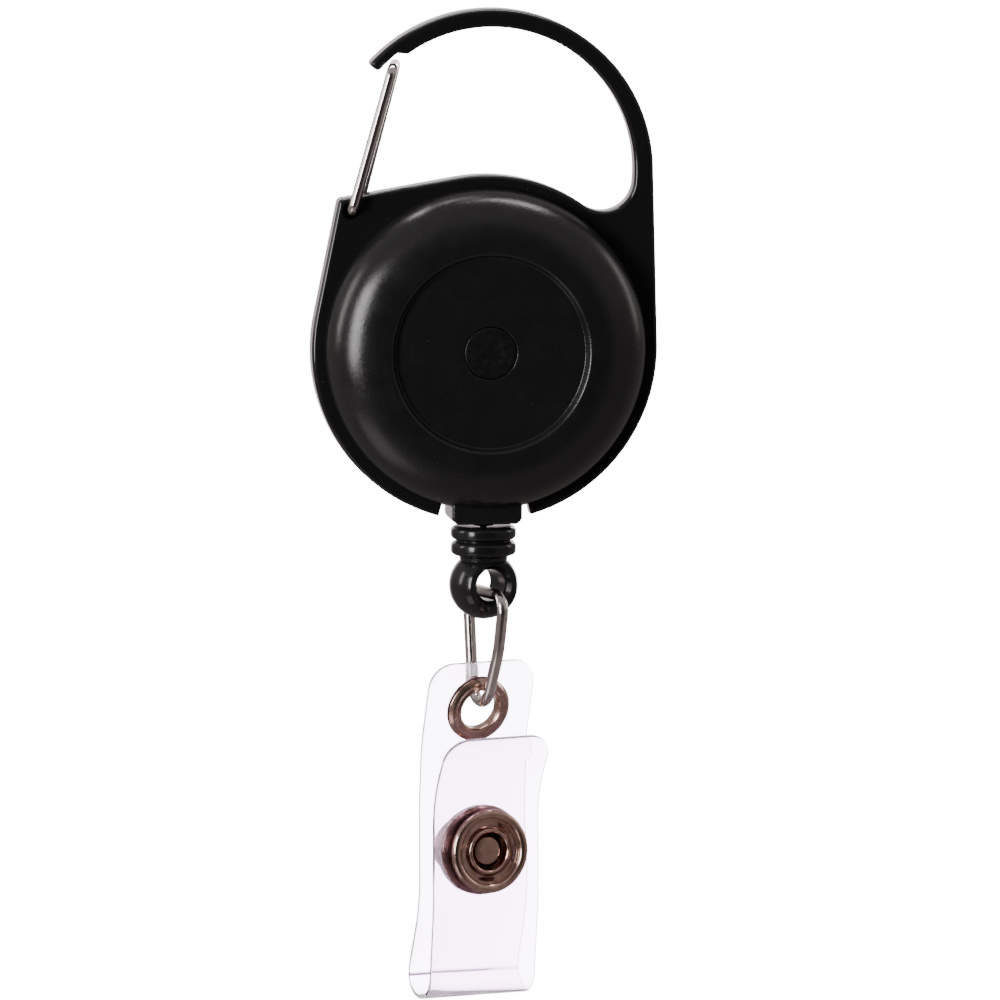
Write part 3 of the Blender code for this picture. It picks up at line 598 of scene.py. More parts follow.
def white_plastic():
    """Uncoloured moulded plastic, a little cloudy."""
    finish = Finish("natural_white_plastic", (0.78, 0.77, 0.73), 0.42)
    cloudy = finish.noise(2.5 * MM, 3.0)
    finish.feed("Roughness", finish.ranged(cloudy, 0.36, 0.50))
    finish.tint(finish.ranged(cloudy, 0.0, 1.0), (0.80, 0.79, 0.75), (0.74, 0.73, 0.69))
    finish.relief(finish.noise(0.3 * MM, 2.0), 0.006 * MM)
    return finish.material


def black_cord():
    """Thin braided nylon: small crossing strands with a soft sheen, and painted shade in the grooves
    between them.
    """
    finish = Finish("braided_nylon", (0.014, 0.014, 0.015), 0.7)
    finish.set("Sheen Weight", 0.3)
    inputs = {"Vector": finish.coordinates, "Scale": 1 / (0.16 * MM)}
    strands = finish.node("TexVoronoi", inputs, feature="SMOOTH_F1").outputs["Distance"]
    # Painted shade: the colour goes darker in the grooves between strands, where the bump sinks them.
    painted_groove_shade = finish.ranged(strands, 0.0, 1.0, 0.1, 0.6)
    finish.tint(painted_groove_shade, (0.022, 0.022, 0.024), (0.006, 0.006, 0.006))
    finish.feed("Roughness", finish.ranged(strands, 0.55, 0.85, 0.1, 0.6))
    finish.relief(strands, -0.05 * MM)
    return finish.material


def clear_vinyl():
    """Clear flexible sheet, faintly lavender, with shallow waves and a few rub marks."""
    finish = Finish("clear_vinyl_sheet", (0.89, 0.76, 0.92), 0.0)
    finish.set("Transmission Weight", 1.0)
    finish.set("IOR", 1.46)
    finish.set("Alpha", 0.95)
    rubs = finish.noise(0.7 * MM, 4.0, 0.7, (1.0, 1.0, 0.25))
    finish.feed("Roughness", finish.ranged(rubs, 0.0, 0.08, 0.66, 0.85))
    finish.relief(finish.noise(4.0 * MM, 1.0), 0.02 * MM)
    return finish.material


# Each look with the slot that it goes in.
GLOSS = gloss_black(), "gloss_black"
SATIN = satin_black(), "satin_black"
POST_END = post_black(), "gloss_black"
STEEL = wire_steel(), "steel_wire"
NICKEL = nickel(), "nickel"
SPRING = spring_steel(), "spring_steel"
WHITE = white_plastic(), "white_plastic"
CORD = black_cord(), "black_cord"
VINYL = clear_vinyl(), "clear_vinyl"


# ---- carabiner frame and gate


def frame_outline():
    """The frame's front view as one loop: hook, right side, open ring, left side, top, pocket."""
    hook = Vector((0.0, -HOOK_INNER_R))
    hook_outer = Vector((0.0, -HOOK_INNER_R - HOOK_OUTER_DROP))
    case = Vector((CASE.x, CASE.z))

    # The pocket touches the body's circle outside and the hook's circle inside.
    across = hook - case
    to_body = BODY_R + POCKET_R
    to_hook = HOOK_INNER_R - POCKET_R
    along = (to_body**2 - to_hook**2 + across.length_squared) / (2 * across.length)
    side = sqrt(to_body**2 - along**2)
    unit = across.normalized()
    pocket = case + unit * along + Vector((unit.y, -unit.x)) * side
    body_angle = atan2(pocket.y - case.y, pocket.x - case.x)
    hook_angle = atan2(pocket.y - hook.y, pocket.x - hook.x)

    gap_start = RING_GAP_HALF_ANGLE - pi / 2
    gap_end = 1.5 * pi - RING_GAP_HALF_ANGLE
    left_angle = pi - BODY_LEFT_LEAN
    top_angle = pi / 2 + BODY_TOP_SLOPE
    left_end = polar(case, BODY_R, left_angle)
    top_end = polar(case, BODY_R, top_angle)
    corner = meeting(left_end, pi / 2 - BODY_LEFT_LEAN, top_end, BODY_TOP_SLOPE)

    outer = arc(hook_outer, HOOK_OUTER_R, TIP_ANGLE, 0.0)
    inner = arc(hook, TIP_INNER_R, NOTCH_ANGLE + NOTCH_RAMP, TIP_ANGLE)
    points = round_corner(inner[-1], outer[0], outer[2], TIP_CORNER_R, radians(12))
    points += outer[2:]
    points += arc(case, BODY_R, 0.0, gap_start)
    points += arc(case, SEAT_R, gap_start, gap_end)
    points += arc(case, BODY_R, gap_end, left_angle)
    points += round_corner(left_end, corner, top_end, BODY_CORNER_R, radians(12))
    points += arc(case, BODY_R, top_angle, body_angle)
    points += arc(pocket, POCKET_R, body_angle - pi, hook_angle, radians(4))[1:]
    points += arc(hook, HOOK_INNER_R, hook_angle, NOTCH_ANGLE)[1:]
    points += inner[:-2]
    points += round_corner(inner[-3], inner[-1], outer[0], TIP_CORNER_R, radians(12))
    return points


def slot_outline(centre, radius, half_width, start, end):
    """A curved slot with round ends: two arcs about the centre, joined by half circles."""
    step = radians(10)
    outline = arc(centre, radius + half_width, start, end, step)
    outline += arc(polar(centre, radius, end), half_width, end, end - pi, step)[1:]
    outline += arc(centre, radius - half_width, end, start, step)[1:]
    outline += arc(polar(centre, radius, start), half_width, start - pi, start - 2 * pi, step)[1:-1]
    return outline


def build_frame():
    """The plate, with a hole for the gate's front foot and a curved slot for the rear one."""
    mesh = plate("frame_plate", frame_outline(), FRAME_THICKNESS, FRAME_EDGE, 5)
    face = FRAME_THICKNESS / 2 / MM
    hole = GATE_HOLE_R / MM
    depth = GATE_HOLE_DEPTH / MM
    pivot = Vector((GATE_PIVOT.x, GATE_PIVOT.z))
    profile = [
        (0.0, face + 0.3), (hole + 0.16, face + 0.3), (hole + 0.08, face), (hole, face - 0.1),
        (hole, face - depth), (0.0, face - depth),
    ]
    cutter = lathe("gate_hole_cut", profile, 48)
    start = atan2(REAR_FOOT_OFFSET.y, REAR_FOOT_OFFSET.x)
    swing = slot_outline(pivot, REAR_FOOT_OFFSET.length, GATE_HOLE_R, start, start - GATE_SWING)
    slot = plate("gate_slot_cut", swing, 2 * GATE_HOLE_DEPTH, 0.0)
    cuts = [(cutter, moved(x=pivot.x, y=pivot.y)), (slot, moved(z=-FRAME_THICKNESS / 2))]
    mesh = carved(mesh, cuts)
    add_piece(mesh, GLOSS, "root", ["carabiner_frame"], UPRIGHT, 32, True)


def build_gate():
    """One wire: front foot, front leg, nose, rear leg and rear foot."""
    face = FRAME_THICKNESS / 2
    pivot = Vector((GATE_PIVOT.x, GATE_PIVOT.z))
    rear = pivot + REAR_FOOT_OFFSET
    foot_y = face - GATE_FOOT_IN
    corners = [
        flat(pivot, -foot_y), flat(pivot, -GATE_LEG_Y), flat(GATE_FRONT_NOSE, -GATE_LEG_Y),
        flat(GATE_REAR_NOSE, GATE_LEG_Y), flat(rear, GATE_LEG_Y), flat(rear, foot_y),
    ]
    mesh = wire("gate_bent_wire", rounded(corners, GATE_BEND_R), GATE_WIRE_R)
    add_piece(mesh, STEEL, "gate", ["gate_wire"])


# ---- case and reel works


def cover_rim():
    """Where either cover rests on the frame, in millimetres: rim, barrel and inner wall."""
    rim = (FRAME_THICKNESS / 2 + SEAM) / MM
    barrel = BARREL_R / MM
    seam = SEAM / 2 / MM
    return [(CASE_R / MM, rim, 0.1), (barrel, rim), (barrel, seam), (CASE_INNER_R / MM, seam)]


def front_profile():
    """Front cover in millimetres: label recess, two shoulders, rim, barrel and inside."""
    top = CASE_FRONT / MM
    floor = (CASE_FRONT - LABEL_DEPTH) / MM
    inside = floor - 1.1
    edge = CASE_R / MM
    hole = POST_HEAD_R / MM + 0.06
    # The domed edge is a quarter of an ellipse.
    centre, low = 10.2, 1.6
    dome = []
    for i in range(3, 25):
        angle = pi / 2 * (1 - i / 24)
        dome.append((centre + (edge - centre) * cos(angle), low + (top - low) * sin(angle)))
    return [
        (hole, floor, 0.12), (9.5, floor, 0.2), (9.85, top, 0.45), (centre + 0.2, top, 0.3),
        *dome,
        *cover_rim(),
        (CASE_INNER_R / MM, inside, 1.2),
        (hole, inside),
    ]


def back_profile():
    """Back cover in millimetres, with a moulding mark in the middle and the post's socket inside."""
    top = CASE_BACK / MM
    inside = top - 1.2
    return [
        (0.0, top - 0.12), (0.9, top - 0.12, 0.05), (1.1, top, 0.05), (13.4, top, 4.0),
        (15.6, 3.3, 2.2), (CASE_R / MM, 1.9, 0.6),
        *cover_rim(),
        (CASE_INNER_R / MM, inside, 1.0), (1.8, inside), (1.8, inside + 0.6), (0.0, inside + 0.6),
    ]


def build_cover(name, profile, side, node):
    """A cover with its half of the spout joined on. side is -1 for the front and 1 for the back."""
    turn = Matrix.Rotation(-side * pi / 2, 4, "X")
    place = Matrix.Translation(CASE) @ turn
    mesh = lathe(name, profile, TURNED_STEPS)
    half = SPOUT_WIDTH / 2
    top = CASE.z - BARREL_R + 0.6 * MM
    corners = [(-half, top), (-half, SPOUT_END_Z), (half, SPOUT_END_Z), (half, top)]
    outline = rounded([Vector(spot) for spot in corners], SPOUT_CORNER, closed=True)
    block = plate(name + "_spout", outline, SPOUT_DEPTH, SPOUT_EDGE)
    block = half_mesh(block, -side, SEAM / 2)
    upright = moved(x=CASE.x) @ UPRIGHT
    mesh = carved(mesh, [(block, place.inverted() @ upright)], "UNION")
    mouth = [(0.0, -1.0), (1.6, -1.0), (1.25, 0.0, 0.3), (0.8, 0.4, 0.3), (0.8, 9.0), (0.0, 9.0)]
    bore = lathe(name + "_bore", mouth, 48)
    spot = moved(x=CASE.x, z=SPOUT_END_Z)
    mesh = carved(mesh, [(bore, place.inverted() @ spot)])
    add_piece(mesh, SATIN, "root", [node], place, 35, True)


def build_post():
    """Moulded post: its head fills the hole in the label recess; a slit holds the spring."""
    head = (CASE_FRONT - LABEL_DEPTH) / MM - 0.08
    radius = POST_HEAD_R / MM
    pin = POST_R / MM
    back = -(CASE_BACK / MM - 0.9)
    profile = [
        (0.0, head - 0.05), (1.1, head - 0.05, 0.3), (1.5, head, 0.3), (radius, head, 0.14),
        (radius, 3.8, 0.1), (pin, 3.8), (pin, back, 0.2), (0.0, back),
    ]
    mesh = lathe("reel_post", profile)
    slit = box("post_slit", (4 * POST_R, 0.7 * MM, 8.0 * MM))
    mesh = carved(mesh, [(slit, moved(z=-1.8 * MM))])
    add_piece(mesh, POST_END, "root", ["centre_post"], CASE_AXIS, 35, True)


def build_spool():
    """Two flanges, a drum with the spring's chamber in it, and the chamber's lid."""
    profile = [
        (1.9, 3.4, 0.1), (9.4, 3.4, 0.3), (9.4, 2.1), (13.3, 2.1, 0.15), (13.3, 1.5, 0.15),
        (9.4, 1.5), (9.4, -1.5), (13.3, -1.5, 0.15), (13.3, -2.1, 0.15), (8.2, -2.1, 0.1),
        (8.2, 2.6, 0.4), (1.9, 2.6, 0.1),
    ]
    mesh = lathe("reel_spool", profile, TURNED_STEPS)
    add_piece(mesh, WHITE, "spool", ["spool"], CASE_AXIS, 35, True)
    lid = [(1.9, -2.4, 0.08), (9.4, -2.4, 0.08), (9.4, -3.0, 0.2), (1.9, -3.0, 0.08)]
    mesh = lathe("reel_lid", lid, TURNED_STEPS)
    add_piece(mesh, WHITE, "spool", ["spring_cover"], CASE_AXIS, 35, True)


def build_power_spring():
    """A flat strip wound in a spiral, from a tail in the post's slit to the drum's wall."""
    top, bottom, strip = 2.0 * MM, -1.8 * MM, 0.075 * MM
    inner, outer, turns, per_turn = 2.2 * MM, 7.6 * MM, 5, 60
    path = [Vector((-0.6 * MM, 0.0)), Vector((1.2 * MM, 0.0)), Vector((inner - 0.25 * MM, 0.0))]
    for i in range(1, turns * per_turn + 1):
        share = i / (turns * per_turn)
        path.append(polar((0.0, 0.0), inner + (outer - inner) * share, 2 * pi * turns * share))
    bm = bmesh.new()
    rows = []
    for i, point in enumerate(path):
        ahead = (path[min(i + 1, len(path) - 1)] - path[max(i - 1, 0)]).normalized()
        side = Vector((-ahead.y, ahead.x)) * strip
        corners = [(point + side, bottom), (point + side, top), (point - side, top), (point - side, bottom)]
        rows.append([bm.verts.new((*spot, level)) for spot, level in corners])
    for row, following in zip(rows, rows[1:]):
        for k in range(4):
            bm.faces.new((row[k], row[(k + 1) % 4], following[(k + 1) % 4], following[k]))
    bm.faces.new(rows[0])
    bm.faces.new(rows[-1])
    mesh = mesh_from(bm, "reel_spring")
    add_piece(mesh, SPRING, "root", ["power_spring"], CASE_AXIS)


def build_winding():
    """The cord wound on the spool: three layers of turns side by side, as one line."""
    layers, turns, per_turn = 3, 3.25, 40
    inner, pitch = 9.78 * MM, 0.68 * MM
    half = 1.13 * MM - CORD_R / 2
    points = []
    for layer in range(layers):
        # Each outer layer starts on top of the one inside it and climbs in half a turn.
        start = inner + pitch * max(layer - 1, 0)
        rise = pitch if layer else 0.0
        way = 1 if layer % 2 == 0 else -1
        count = round(turns * per_turn)
        for i in range(count):
            share = i / count
            angle = 2 * pi * turns * (layer + share)
            reach = start + rise * min(1.0, share * turns * 2)
            points.append((*polar((0.0, 0.0), reach, angle), way * half * (2 * share - 1)))
    mesh = wire("wound_cord", points, CORD_R * 0.97, sides=3)
    add_piece(mesh, CORD, "spool", ["cord_winding"], CASE_AXIS)


def build_pull_cord():
    """The cord's run from the spool through the spout into the cord end."""
    leave_r = 12.55 * MM
    drop = leave_r + 0.8 * MM
    start = polar((CASE.x, CASE.z), leave_r, acos(leave_r / drop) - pi / 2)
    corner = Vector((CASE.x, CASE.z - drop))
    end = Vector((CASE.x, SPOUT_END_Z))
    run = rounded([start, corner, end], 1.8 * MM)
    bottom = KNOT_Z + 0.7 * MM
    count = 24
    run += [Vector((CASE.x, SPOUT_END_Z + (bottom - SPOUT_END_Z) * i / count)) for i in range(1, count + 1)]
    mesh = wire("pull_cord", [flat(point) for point in run], CORD_R, sides=4)
    cord = add_piece(mesh, CORD, None, ["cord_feed", "cord_lead"])
    start = (CASE.x, 0.0, SPOUT_END_Z + 0.1 * MM)
    end = (CASE.x, 0.0, KNOT_Z + 1.0 * MM)
    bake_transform(cord)


def build_knot():
    """The stopper knot: an overhand knot pulled tight inside the cord end."""
    points = []
    steps = 72
    for i in range(steps):
        angle = 2 * pi * i / steps
        reach = (0.36 + 0.17 * cos(3 * angle)) * MM
        lift = 0.27 * sin(3 * angle) * MM
        points.append((*polar((0.0, 0.0), reach, 2 * angle), lift))
    mesh = wire("stopper_knot", points, CORD_R * 0.9, closed=True, sides=3)
    add_piece(mesh, CORD, "cord_end", ["cord_knot"], moved(x=CASE.x, z=KNOT_Z))


# ---- cord end and link


def build_cord_end():
    """Ribbed neck over a ball with two flats and a smooth-lipped cross hole."""
    rise = FITTING_TOP_Z / MM
    ball_r = BALL_R / MM
    ball_z = BALL_BOTTOM_Z / MM + ball_r
    neck = 2.4
    knot = KNOT_Z / MM
    chamber = 1.25
    profile = [
        (0.0, knot - 1.9), (chamber, knot - 1.9, 0.3), (chamber, knot + 0.95, 0.2),
        (0.74, knot + 1.25), (0.74, rise - 0.2, 0.1), (1.05, rise, 0.1), (2.6, rise, 0.2),
        (3.26, rise - 0.15, 0.5), (3.26, rise - 1.22, 0.5), (2.74, rise - 1.42, 0.1),
        (2.74, rise - 1.52, 0.1), (3.25, rise - 1.7, 0.5), (3.25, rise - 2.8, 0.5),
        (neck, rise - 3.1, 0.2), (neck, rise - 3.3, 0.1),
    ]
    start = asin((rise - 3.45 - ball_z) / ball_r)
    ball = arc((0.0, ball_z), ball_r, start, -pi / 2, radians(4))
    profile += ball[:-1] + [(0.0, ball_z - ball_r)]
    mesh = lathe("cord_stopper", profile)
    cuts = []
    for side in (-1, 1):
        block = box("ball_flat", (8 * MM, 2 * MM, 5.6 * MM))
        centre = (0.0, side * (BALL_FLAT + 1 * MM), ball_z * MM - 0.6 * MM)
        cuts.append((block, Matrix.Translation(centre)))
    face = BALL_FLAT / MM
    lip = [
        (0.0, face + 1.0), (2.4, face + 1.0), (2.02, face, 0.2), (1.6, face - 0.55, 0.5),
        (1.6, 0.55 - face, 0.5), (2.02, -face, 0.2), (2.4, -face - 1.0), (0.0, -face - 1.0),
    ]
    hole = lathe("ball_hole", lip)
    cuts.append((hole, moved(z=BALL_HOLE_Z) @ UPRIGHT))
    mesh = carved(mesh, cuts)
    add_piece(mesh, GLOSS, "fitting", ["end_fitting"], CORD_AXIS, 30, True)


def build_link():
    """A closed wire loop, wide where it passes through the ball and narrow at the eyelet."""
    top = [Vector((LINK_TOP_BACK, LINK_TOP_Z)), Vector((LINK_TOP_FRONT, LINK_TOP_Z))]
    corners = [*top, LINK_KNEE, LINK_APEX]
    loop = rounded(corners, LINK_BENDS, closed=True, step=radians(5))
    mesh = wire("link_ring", [Vector((0.0, -out, z)) for out, z in loop], LINK_WIRE_R, closed=True)
    add_piece(mesh, STEEL, "link", ["wire_link"], CORD_AXIS)


# ---- strap


def snap_run(outwards):
    """The straight stretch of a layer through the snap, top to bottom."""
    return Vector((outwards, SNAP_Z + SNAP_ZONE)), Vector((outwards, SNAP_Z - SNAP_ZONE))


def strap_line():
    """Side view of the whole strap: down the back layer, round the fold and up the flap."""
    high_back, low_back = snap_run(SNAP_OUT)
    high_front, low_front = snap_run(SNAP_OUT + SNAP_SPACING)
    rear = FOLD_CENTRE.x - FOLD_R
    front = FOLD_CENTRE.x + FOLD_R
    under = FOLD_CENTRE.y - FOLD_R
    lean = tan(STRAP_LEAN)
    under_eyelet = EYELET_Z - EYELET_R
    corners = [
        (Vector((STRAP_OUT + lean * (STRAP_TOP_Z - EYELET_Z), STRAP_TOP_Z)), 0.0),
        (Vector((STRAP_OUT + lean * (under_eyelet - EYELET_Z), under_eyelet)), 15 * MM),
        (high_back, 15 * MM),
        (low_back, 15 * MM),
        (Vector((rear, FOLD_CENTRE.y + 0.6 * MM)), 5 * MM),
        (Vector((rear, under)), FOLD_R),
        (Vector((front, under)), FOLD_R),
        (low_front, 10 * MM), (high_front, 12 * MM), (FLAP_TOP, 0.0),
    ]
    points, radii = zip(*corners)
    return rounded(points, radii, step=radians(1.5))


class BentLine:
    """A side-view line that a flat sheet is laid along, by the length travelled on it."""

    def __init__(self, points):
        self.points = points
        self.reach = [0.0]
        for start, end in zip(points, points[1:]):
            self.reach.append(self.reach[-1] + (end - start).length)
        steps = [(end - start).normalized() for start, end in zip(points, points[1:])]
        self.ways = [steps[0]]
        self.ways += [(a + b).normalized() for a, b in zip(steps, steps[1:])] + [steps[-1]]

    @property
    def length(self):
        return self.reach[-1]

    def at(self, travelled, lift):
        """The point this far along, lifted off the line towards the inside of the fold."""
        travelled = min(max(travelled, 0.0), self.length)
        i = 0
        while i < len(self.points) - 2 and self.reach[i + 1] < travelled:
            i += 1
        share = (travelled - self.reach[i]) / (self.reach[i + 1] - self.reach[i])
        spot = self.points[i].lerp(self.points[i + 1], share)
        way = self.ways[i].lerp(self.ways[i + 1], share).normalized()
        return spot + Vector((-way.y, way.x)) * lift

    def nearest(self, point):
        """How far along the line the point nearest to this one is."""
        return min(self.foot(i, point) for i in range(len(self.points) - 1))[1]

    def foot(self, i, point):
        """The distance to the line's i-th stretch, and how far along its nearest point is."""
        start, end = self.points[i], self.points[i + 1]
        step = end - start
        share = min(max((point - start).dot(step) / step.length_squared, 0.0), 1.0)
        return (start + step * share - point).length, self.reach[i] + share * step.length


def flat_strap(line):
    """The strap's sheet laid flat along +Y, with rounded corners and its three holes."""
    length = line.length
    half = STRAP_WIDTH / 2
    corners = [Vector((-half, 0.0)), Vector((half, 0.0)), Vector((half, length)), Vector((-half, length))]
    outline = rounded(corners, STRAP_CORNER_R, closed=True)
    mesh = plate("clear_strap", outline, STRAP_THICKNESS, STRAP_EDGE, 2)
    holes = (
        (STRAP_OUT, EYELET_Z, EYELET_PUNCH_R),
        (SNAP_OUT, SNAP_Z, STUD_PUNCH_R),
        (SNAP_OUT + SNAP_SPACING, SNAP_Z, CAP_PUNCH_R),
    )
    cuts = []
    for out, z, hole_r in holes:
        radius = hole_r / MM
        punch = lathe("punch", [(0.0, 1.0), (radius, 1.0), (radius, -1.0), (0.0, -1.0)], 64)
        cuts.append((punch, moved(y=line.nearest(Vector((out, z))))))
    return carved(mesh, cuts)


def bend_strap(mesh, line):
    """Cuts the flat sheet into short rows, finer in the fold, and lays it along the line."""
    bm, name = opened(mesh)
    fold_start = line.nearest(Vector((FOLD_CENTRE.x - FOLD_R, FOLD_CENTRE.y)))
    fold_end = line.nearest(Vector((FOLD_CENTRE.x + FOLD_R, FOLD_CENTRE.y)))
    station = 0.5 * MM
    while station < line.length:
        bisect(bm, (0.0, station, 0.0), (0.0, 1.0, 0.0))
        in_fold = fold_start - 1 * MM < station < fold_end + 1 * MM
        station += (0.2 if in_fold else 0.5) * MM
    for vert in bm.verts:
        out, z = line.at(vert.co.y, vert.co.z)
        vert.co = (vert.co.x, -out, z)
    return mesh_from(bm, name)


def build_strap():
    """The clear sheet, cut flat and then bent along its side view."""
    line = BentLine(strap_line())
    mesh = bend_strap(flat_strap(line), line)
    strap = add_piece(mesh, VINYL, None, ["strap_back", "strap_flap"], CORD_AXIS, 40)
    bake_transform(strap)


def build_eyelet():
    """A drawn tube with a rolled front rim, clinched over a washer behind the strap."""
    half = STRAP_THICKNESS / 2 / MM
    outer = EYELET_R / MM
    hole = EYELET_HOLE_R / MM
    barrel = [
        (outer, half, 0.05), (outer, half + 0.12, 0.12), (outer - 0.42, half + 0.5, 0.35),
        (hole + 0.52, half + 0.42, 0.2), (hole + 0.42, half + 0.5, 0.06),
        (hole + 0.2, half + 0.52, 0.12), (hole, half + 0.2, 0.3), (hole, -half - 0.35, 0.35),
        (hole + 0.35, -half - 0.62, 0.12), (hole + 0.75, -half - 0.52, 0.1),
        (hole + 0.7, -half - 0.4, 0.05), (hole + 0.25, -half - 0.3, 0.25),
        (hole + 0.25, half, 0.02),
    ]
    mesh = lathe("eyelet", barrel)
    add_piece(mesh, NICKEL, "strap", ["eyelet_barrel"], EYELET_PLACE, 50)
    washer = [
        (hole + 0.42, -half, 0.03), (outer, -half, 0.04), (outer, -half - 0.12, 0.1),
        (outer - 0.35, -half - 0.36, 0.2), (hole + 0.85, -half - 0.36, 0.1),
        (hole + 0.42, -half - 0.24, 0.05),
    ]
    mesh = lathe("eyelet_ring", washer)
    add_piece(mesh, NICKEL, "strap", ["eyelet_washer"], EYELET_PLACE, 50)


def build_snap_stud():
    """Fixed half: a domed cap and its post behind the back layer, and the stud in front of it."""
    post = [
        (0.0, -0.9), (1.8, -0.88, 2.4), (3.0, -0.82, 0.8), (3.42, -0.58, 0.25), (3.4, -0.3, 0.1),
        (3.1, -0.22, 0.1), (2.9, -0.42, 0.2), (1.0, -0.48, 0.15), (1.0, 2.4, 0.2), (0.0, 2.4),
    ]
    mesh = lathe("snap_back_cap", post[::-1])
    add_piece(mesh, NICKEL, "strap", ["snap_post"], SNAP_PLACE, 45)
    stud = [
        (0.0, 3.46), (0.9, 3.46, 0.6), (1.36, 3.43, 0.14), (1.45, 3.05, 0.2), (1.74, 2.65, 0.3),
        (1.52, 2.15, 0.4), (1.55, 0.95, 0.3), (3.1, 0.9, 0.2), (3.65, 0.75, 0.3), (3.82, 0.35, 0.1),
        (3.5, 0.3, 0.1), (1.3, 0.42, 0.2), (1.3, 3.0, 0.2), (0.0, 3.0),
    ]
    mesh = lathe("snap_stud_half", stud)
    add_piece(mesh, NICKEL, "strap", ["snap_stud"], SNAP_PLACE, 45)


def build_snap_socket():
    """Moving half: socket behind the flap, spring ring inside it and the ring on the front."""
    socket = [
        (1.92, 3.88, 0.14), (2.1, 4.06, 0.14), (2.3, 3.88, 0.14), (2.3, 2.6, 0.25), (4.2, 2.55, 0.2),
        (4.58, 2.25, 0.25), (4.42, 1.95, 0.12), (4.5, 1.5, 0.25), (4.1, 1.16, 0.2),
        (2.05, 1.2, 0.15), (2.05, 1.45, 0.05), (3.9, 1.45, 0.2), (3.9, 2.25, 0.2), (2.02, 2.3, 0.2),
    ]
    mesh = lathe("snap_socket_cup", socket)
    add_piece(mesh, NICKEL, "flap", ["snap_socket"], SNAP_PLACE, 45)
    ring = arc((0.0, 0.0), 2.6 * MM, radians(25), radians(335), radians(4))
    mesh = wire("snap_grip_spring", [(p.x, p.y, 1.82 * MM) for p in ring], 0.18 * MM, sides=4)
    add_piece(mesh, SPRING, "flap", ["snap_spring"], SNAP_PLACE)
    front = [
        (2.5, 3.52, 0.06), (2.56, 3.64, 0.06), (3.0, 3.62, 0.06), (3.04, 3.86, 0.05),
        (3.18, 3.86, 0.05), (3.24, 3.76, 0.05),
    ]
    bead = arc((3.74, 3.8), 0.47, radians(170), radians(-60), radians(12))
    front += bead + [(3.8, 3.45, 0.1), (2.5, 3.45, 0.03)]
    mesh = lathe("snap_front_ring", front)
    cuts = []
    for number, angle in enumerate(SNAP_SLOT_ANGLES):
        start, end = radians(angle + SNAP_SLOT_HALF), radians(angle - SNAP_SLOT_HALF)
        outline = slot_outline((0.0, 0.0), SNAP_SLOT_R, SNAP_SLOT_HALF_WIDTH, start, end)
        slot = plate(f"snap_slot_{number}", outline, 2 * MM, 0.0)
        cuts.append((slot, moved(z=3.6 * MM)))
    mesh = carved(mesh, cuts)
    add_piece(mesh, NICKEL, "flap", ["snap_cap"], SNAP_PLACE, 45)


# ---- floor, light and camera


def aim(thing, target, azimuth, elevation, distance):
    """Stands a lamp or camera off from its target at these angles, facing it. Azimuth 0 is in
    front of the object."""
    a, e = radians(azimuth), radians(elevation)
    way = Vector((sin(a) * cos(e), -cos(a) * cos(e), sin(e)))
    thing.location = target + way * distance
    thing.rotation_euler = way.to_track_quat("Z", "Y").to_euler()


def build_floor():
    """A white floor well below the object. Its own sun brings it to the white of the world, and
    reflections on the object leave it out."""
    bm = bmesh.new()
    bmesh.ops.create_circle(bm, cap_ends=True, segments=96, radius=FLOOR_R)
    floor = placed("floor", mesh_from(bm, "floor"), moved(z=FLOOR_Z))
    floor.visible_diffuse = False
    floor.visible_glossy = False
    floor.visible_transmission = False
    finish = Finish("pale_floor", (FLOOR_ALBEDO, FLOOR_ALBEDO, FLOOR_ALBEDO), 0.8)
    finish.set("Specular IOR Level", 0.0)
    floor.data.materials.append(finish.material)
    light = bpy.data.lights.new("floor_sun", "SUN")
    light.energy = WHITE_LEVEL * pi / FLOOR_ALBEDO
    light.angle = radians(40)
    sun = placed("floor_sun", light)
    lit = bpy.data.collections.new("lit_by_floor_sun")
    lit.objects.link(floor)
    sun.light_linking.receiver_collection = lit


def build_softbox(name, azimuth, elevation, size, radiance, colour=(1.0, 0.97, 0.97)):
    """A rectangular light that faces the middle of the object, as bright as this all over."""
    light = bpy.data.lights.new(name, "AREA")
    light.shape = "RECTANGLE"
    light.size, light.size_y = size
    light.energy = radiance * pi * size[0] * size[1]
    light.color = colour
    lamp = placed(name, light)
    aim(lamp, MIDDLE, azimuth, elevation, LAMP_DISTANCE)
    lamp.visible_camera = False


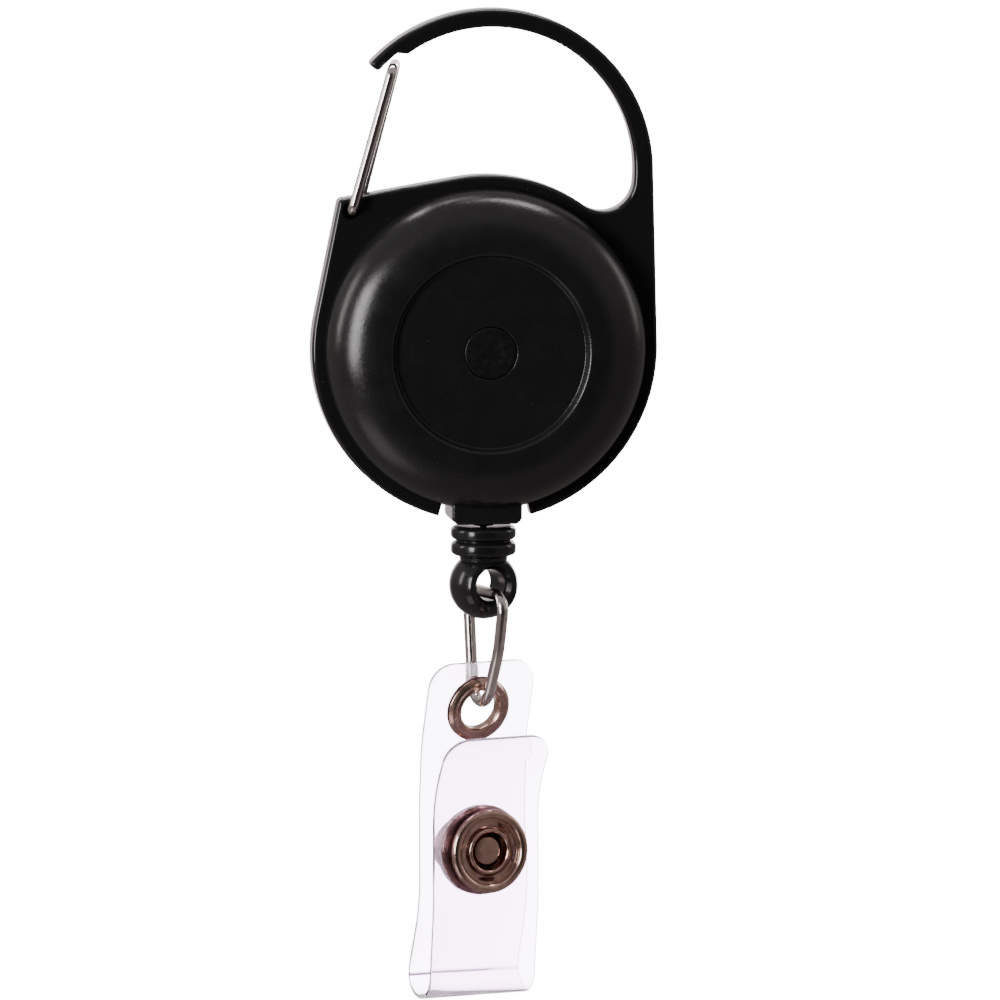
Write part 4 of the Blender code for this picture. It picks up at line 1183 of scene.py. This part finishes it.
def build_world():
    """White where it is seen directly or through the clear sheet. In reflections it is bright at
    the sides, top and back and dark in front, so that flat black faces stay dark and every
    rounded edge catches light."""
    world = bpy.data.worlds.new("studio")
    world.use_nodes = True
    bpy.context.scene.world = world
    tree = world.node_tree
    tree.nodes.clear()

    def node(kind, inputs=(), **settings):
        return add_node(tree, kind, inputs, **settings)

    def ramp(value, stops):
        made = node("ValToRGB", {"Fac": value})
        made.color_ramp.interpolation = "EASE"
        elements = made.color_ramp.elements
        while len(elements) < len(stops):
            elements.new(0.5)
        for element, (position, level, colour) in zip(elements, stops):
            element.position = position
            element.color = (*(level * part for part in colour), 1.0)
        return made.outputs["Color"]

    def background(colour, strength):
        return node("Background", {"Color": colour, "Strength": strength}).outputs[0]

    def mixed(share, first, second):
        return node("MixShader", {"Fac": share, 1: first, 2: second}).outputs[0]

    way = node("TexCoord").outputs["Generated"]
    parts = node("SeparateXYZ", {"Vector": way}).outputs
    depth = node("MapRange", {"Value": parts["Y"], "From Min": -1.0}).outputs["Result"]
    rise = node("MapRange", {"Value": parts["Z"], "From Min": -1.0}).outputs["Result"]
    white = (1.0, 1.0, 1.0)
    pink = (1.0, 0.95, 0.95)
    around = ramp(depth, AROUND_STOPS)
    height = ramp(rise, [(0.0, 0.6, pink), (0.45, 0.6, pink), (0.65, 1.0, white)])
    product = mix_colours(tree, 1.0, around, height, "MULTIPLY")
    reflected = background(product, 1.0)
    level = node("Math", {0: parts["Y"]}, operation="ABSOLUTE").outputs["Value"]
    through = background(ramp(level, [(0.1, 0.12, white), (0.5, 1.0, white)]), WHITE_LEVEL)
    plain = background((*white, 1.0), WHITE_LEVEL)
    rays = node("LightPath").outputs
    mirrored = node("Math", {0: rays["Glossy Depth"], 1: 0.5}, operation="GREATER_THAN").outputs[0]
    mix = mixed(rays["Is Transmission Ray"], reflected, mixed(mirrored, through, reflected))
    mix = mixed(rays["Is Camera Ray"], mix, plain)
    node("OutputWorld", {"Surface": mix})


def build_camera():
    """Long lens, a little to the left of the front and a little above."""
    data = bpy.data.cameras.new("camera")
    data.sensor_width = 36.0
    data.lens = 36.0 * CAMERA_DISTANCE * PIXELS_PER_METRE / 1000
    camera = placed("camera", data)
    aim(camera, CAMERA_AIM, -8, 7, CAMERA_DISTANCE)
    bpy.context.scene.camera = camera


def build_lights():
    """A tall strip at the front left, a long box overhead, one at the left side and a weak
    reflector low at the front left, then a strip and a side light for the back."""
    build_softbox("front_strip", -50, 8, (0.24, 0.46), 14.0)
    build_softbox("overhead", 165, 79, (0.84, 0.14), 14.0)
    build_softbox("left_side", -92, 16, (0.16, 0.42), 5.0)
    build_softbox("low_reflector", -58, -45, (0.42, 0.34), 1.0, (1.0, 0.93, 0.92))
    build_softbox("back_strip", 153, 7, (0.14, 0.50), 7.0)
    build_softbox("right_side", 100, 16, (0.16, 0.42), 2.0)


build_camera()
build_frame()
build_gate()
build_cover("case_front", front_profile(), -1, "front_cover")
build_cover("case_back", back_profile(), 1, "back_cover")
build_post()
build_spool()
build_power_spring()
build_winding()
build_pull_cord()
build_knot()
build_cord_end()
build_link()
build_eyelet()
build_snap_stud()
build_snap_socket()
build_strap()
build_floor()
build_world()
build_lights()
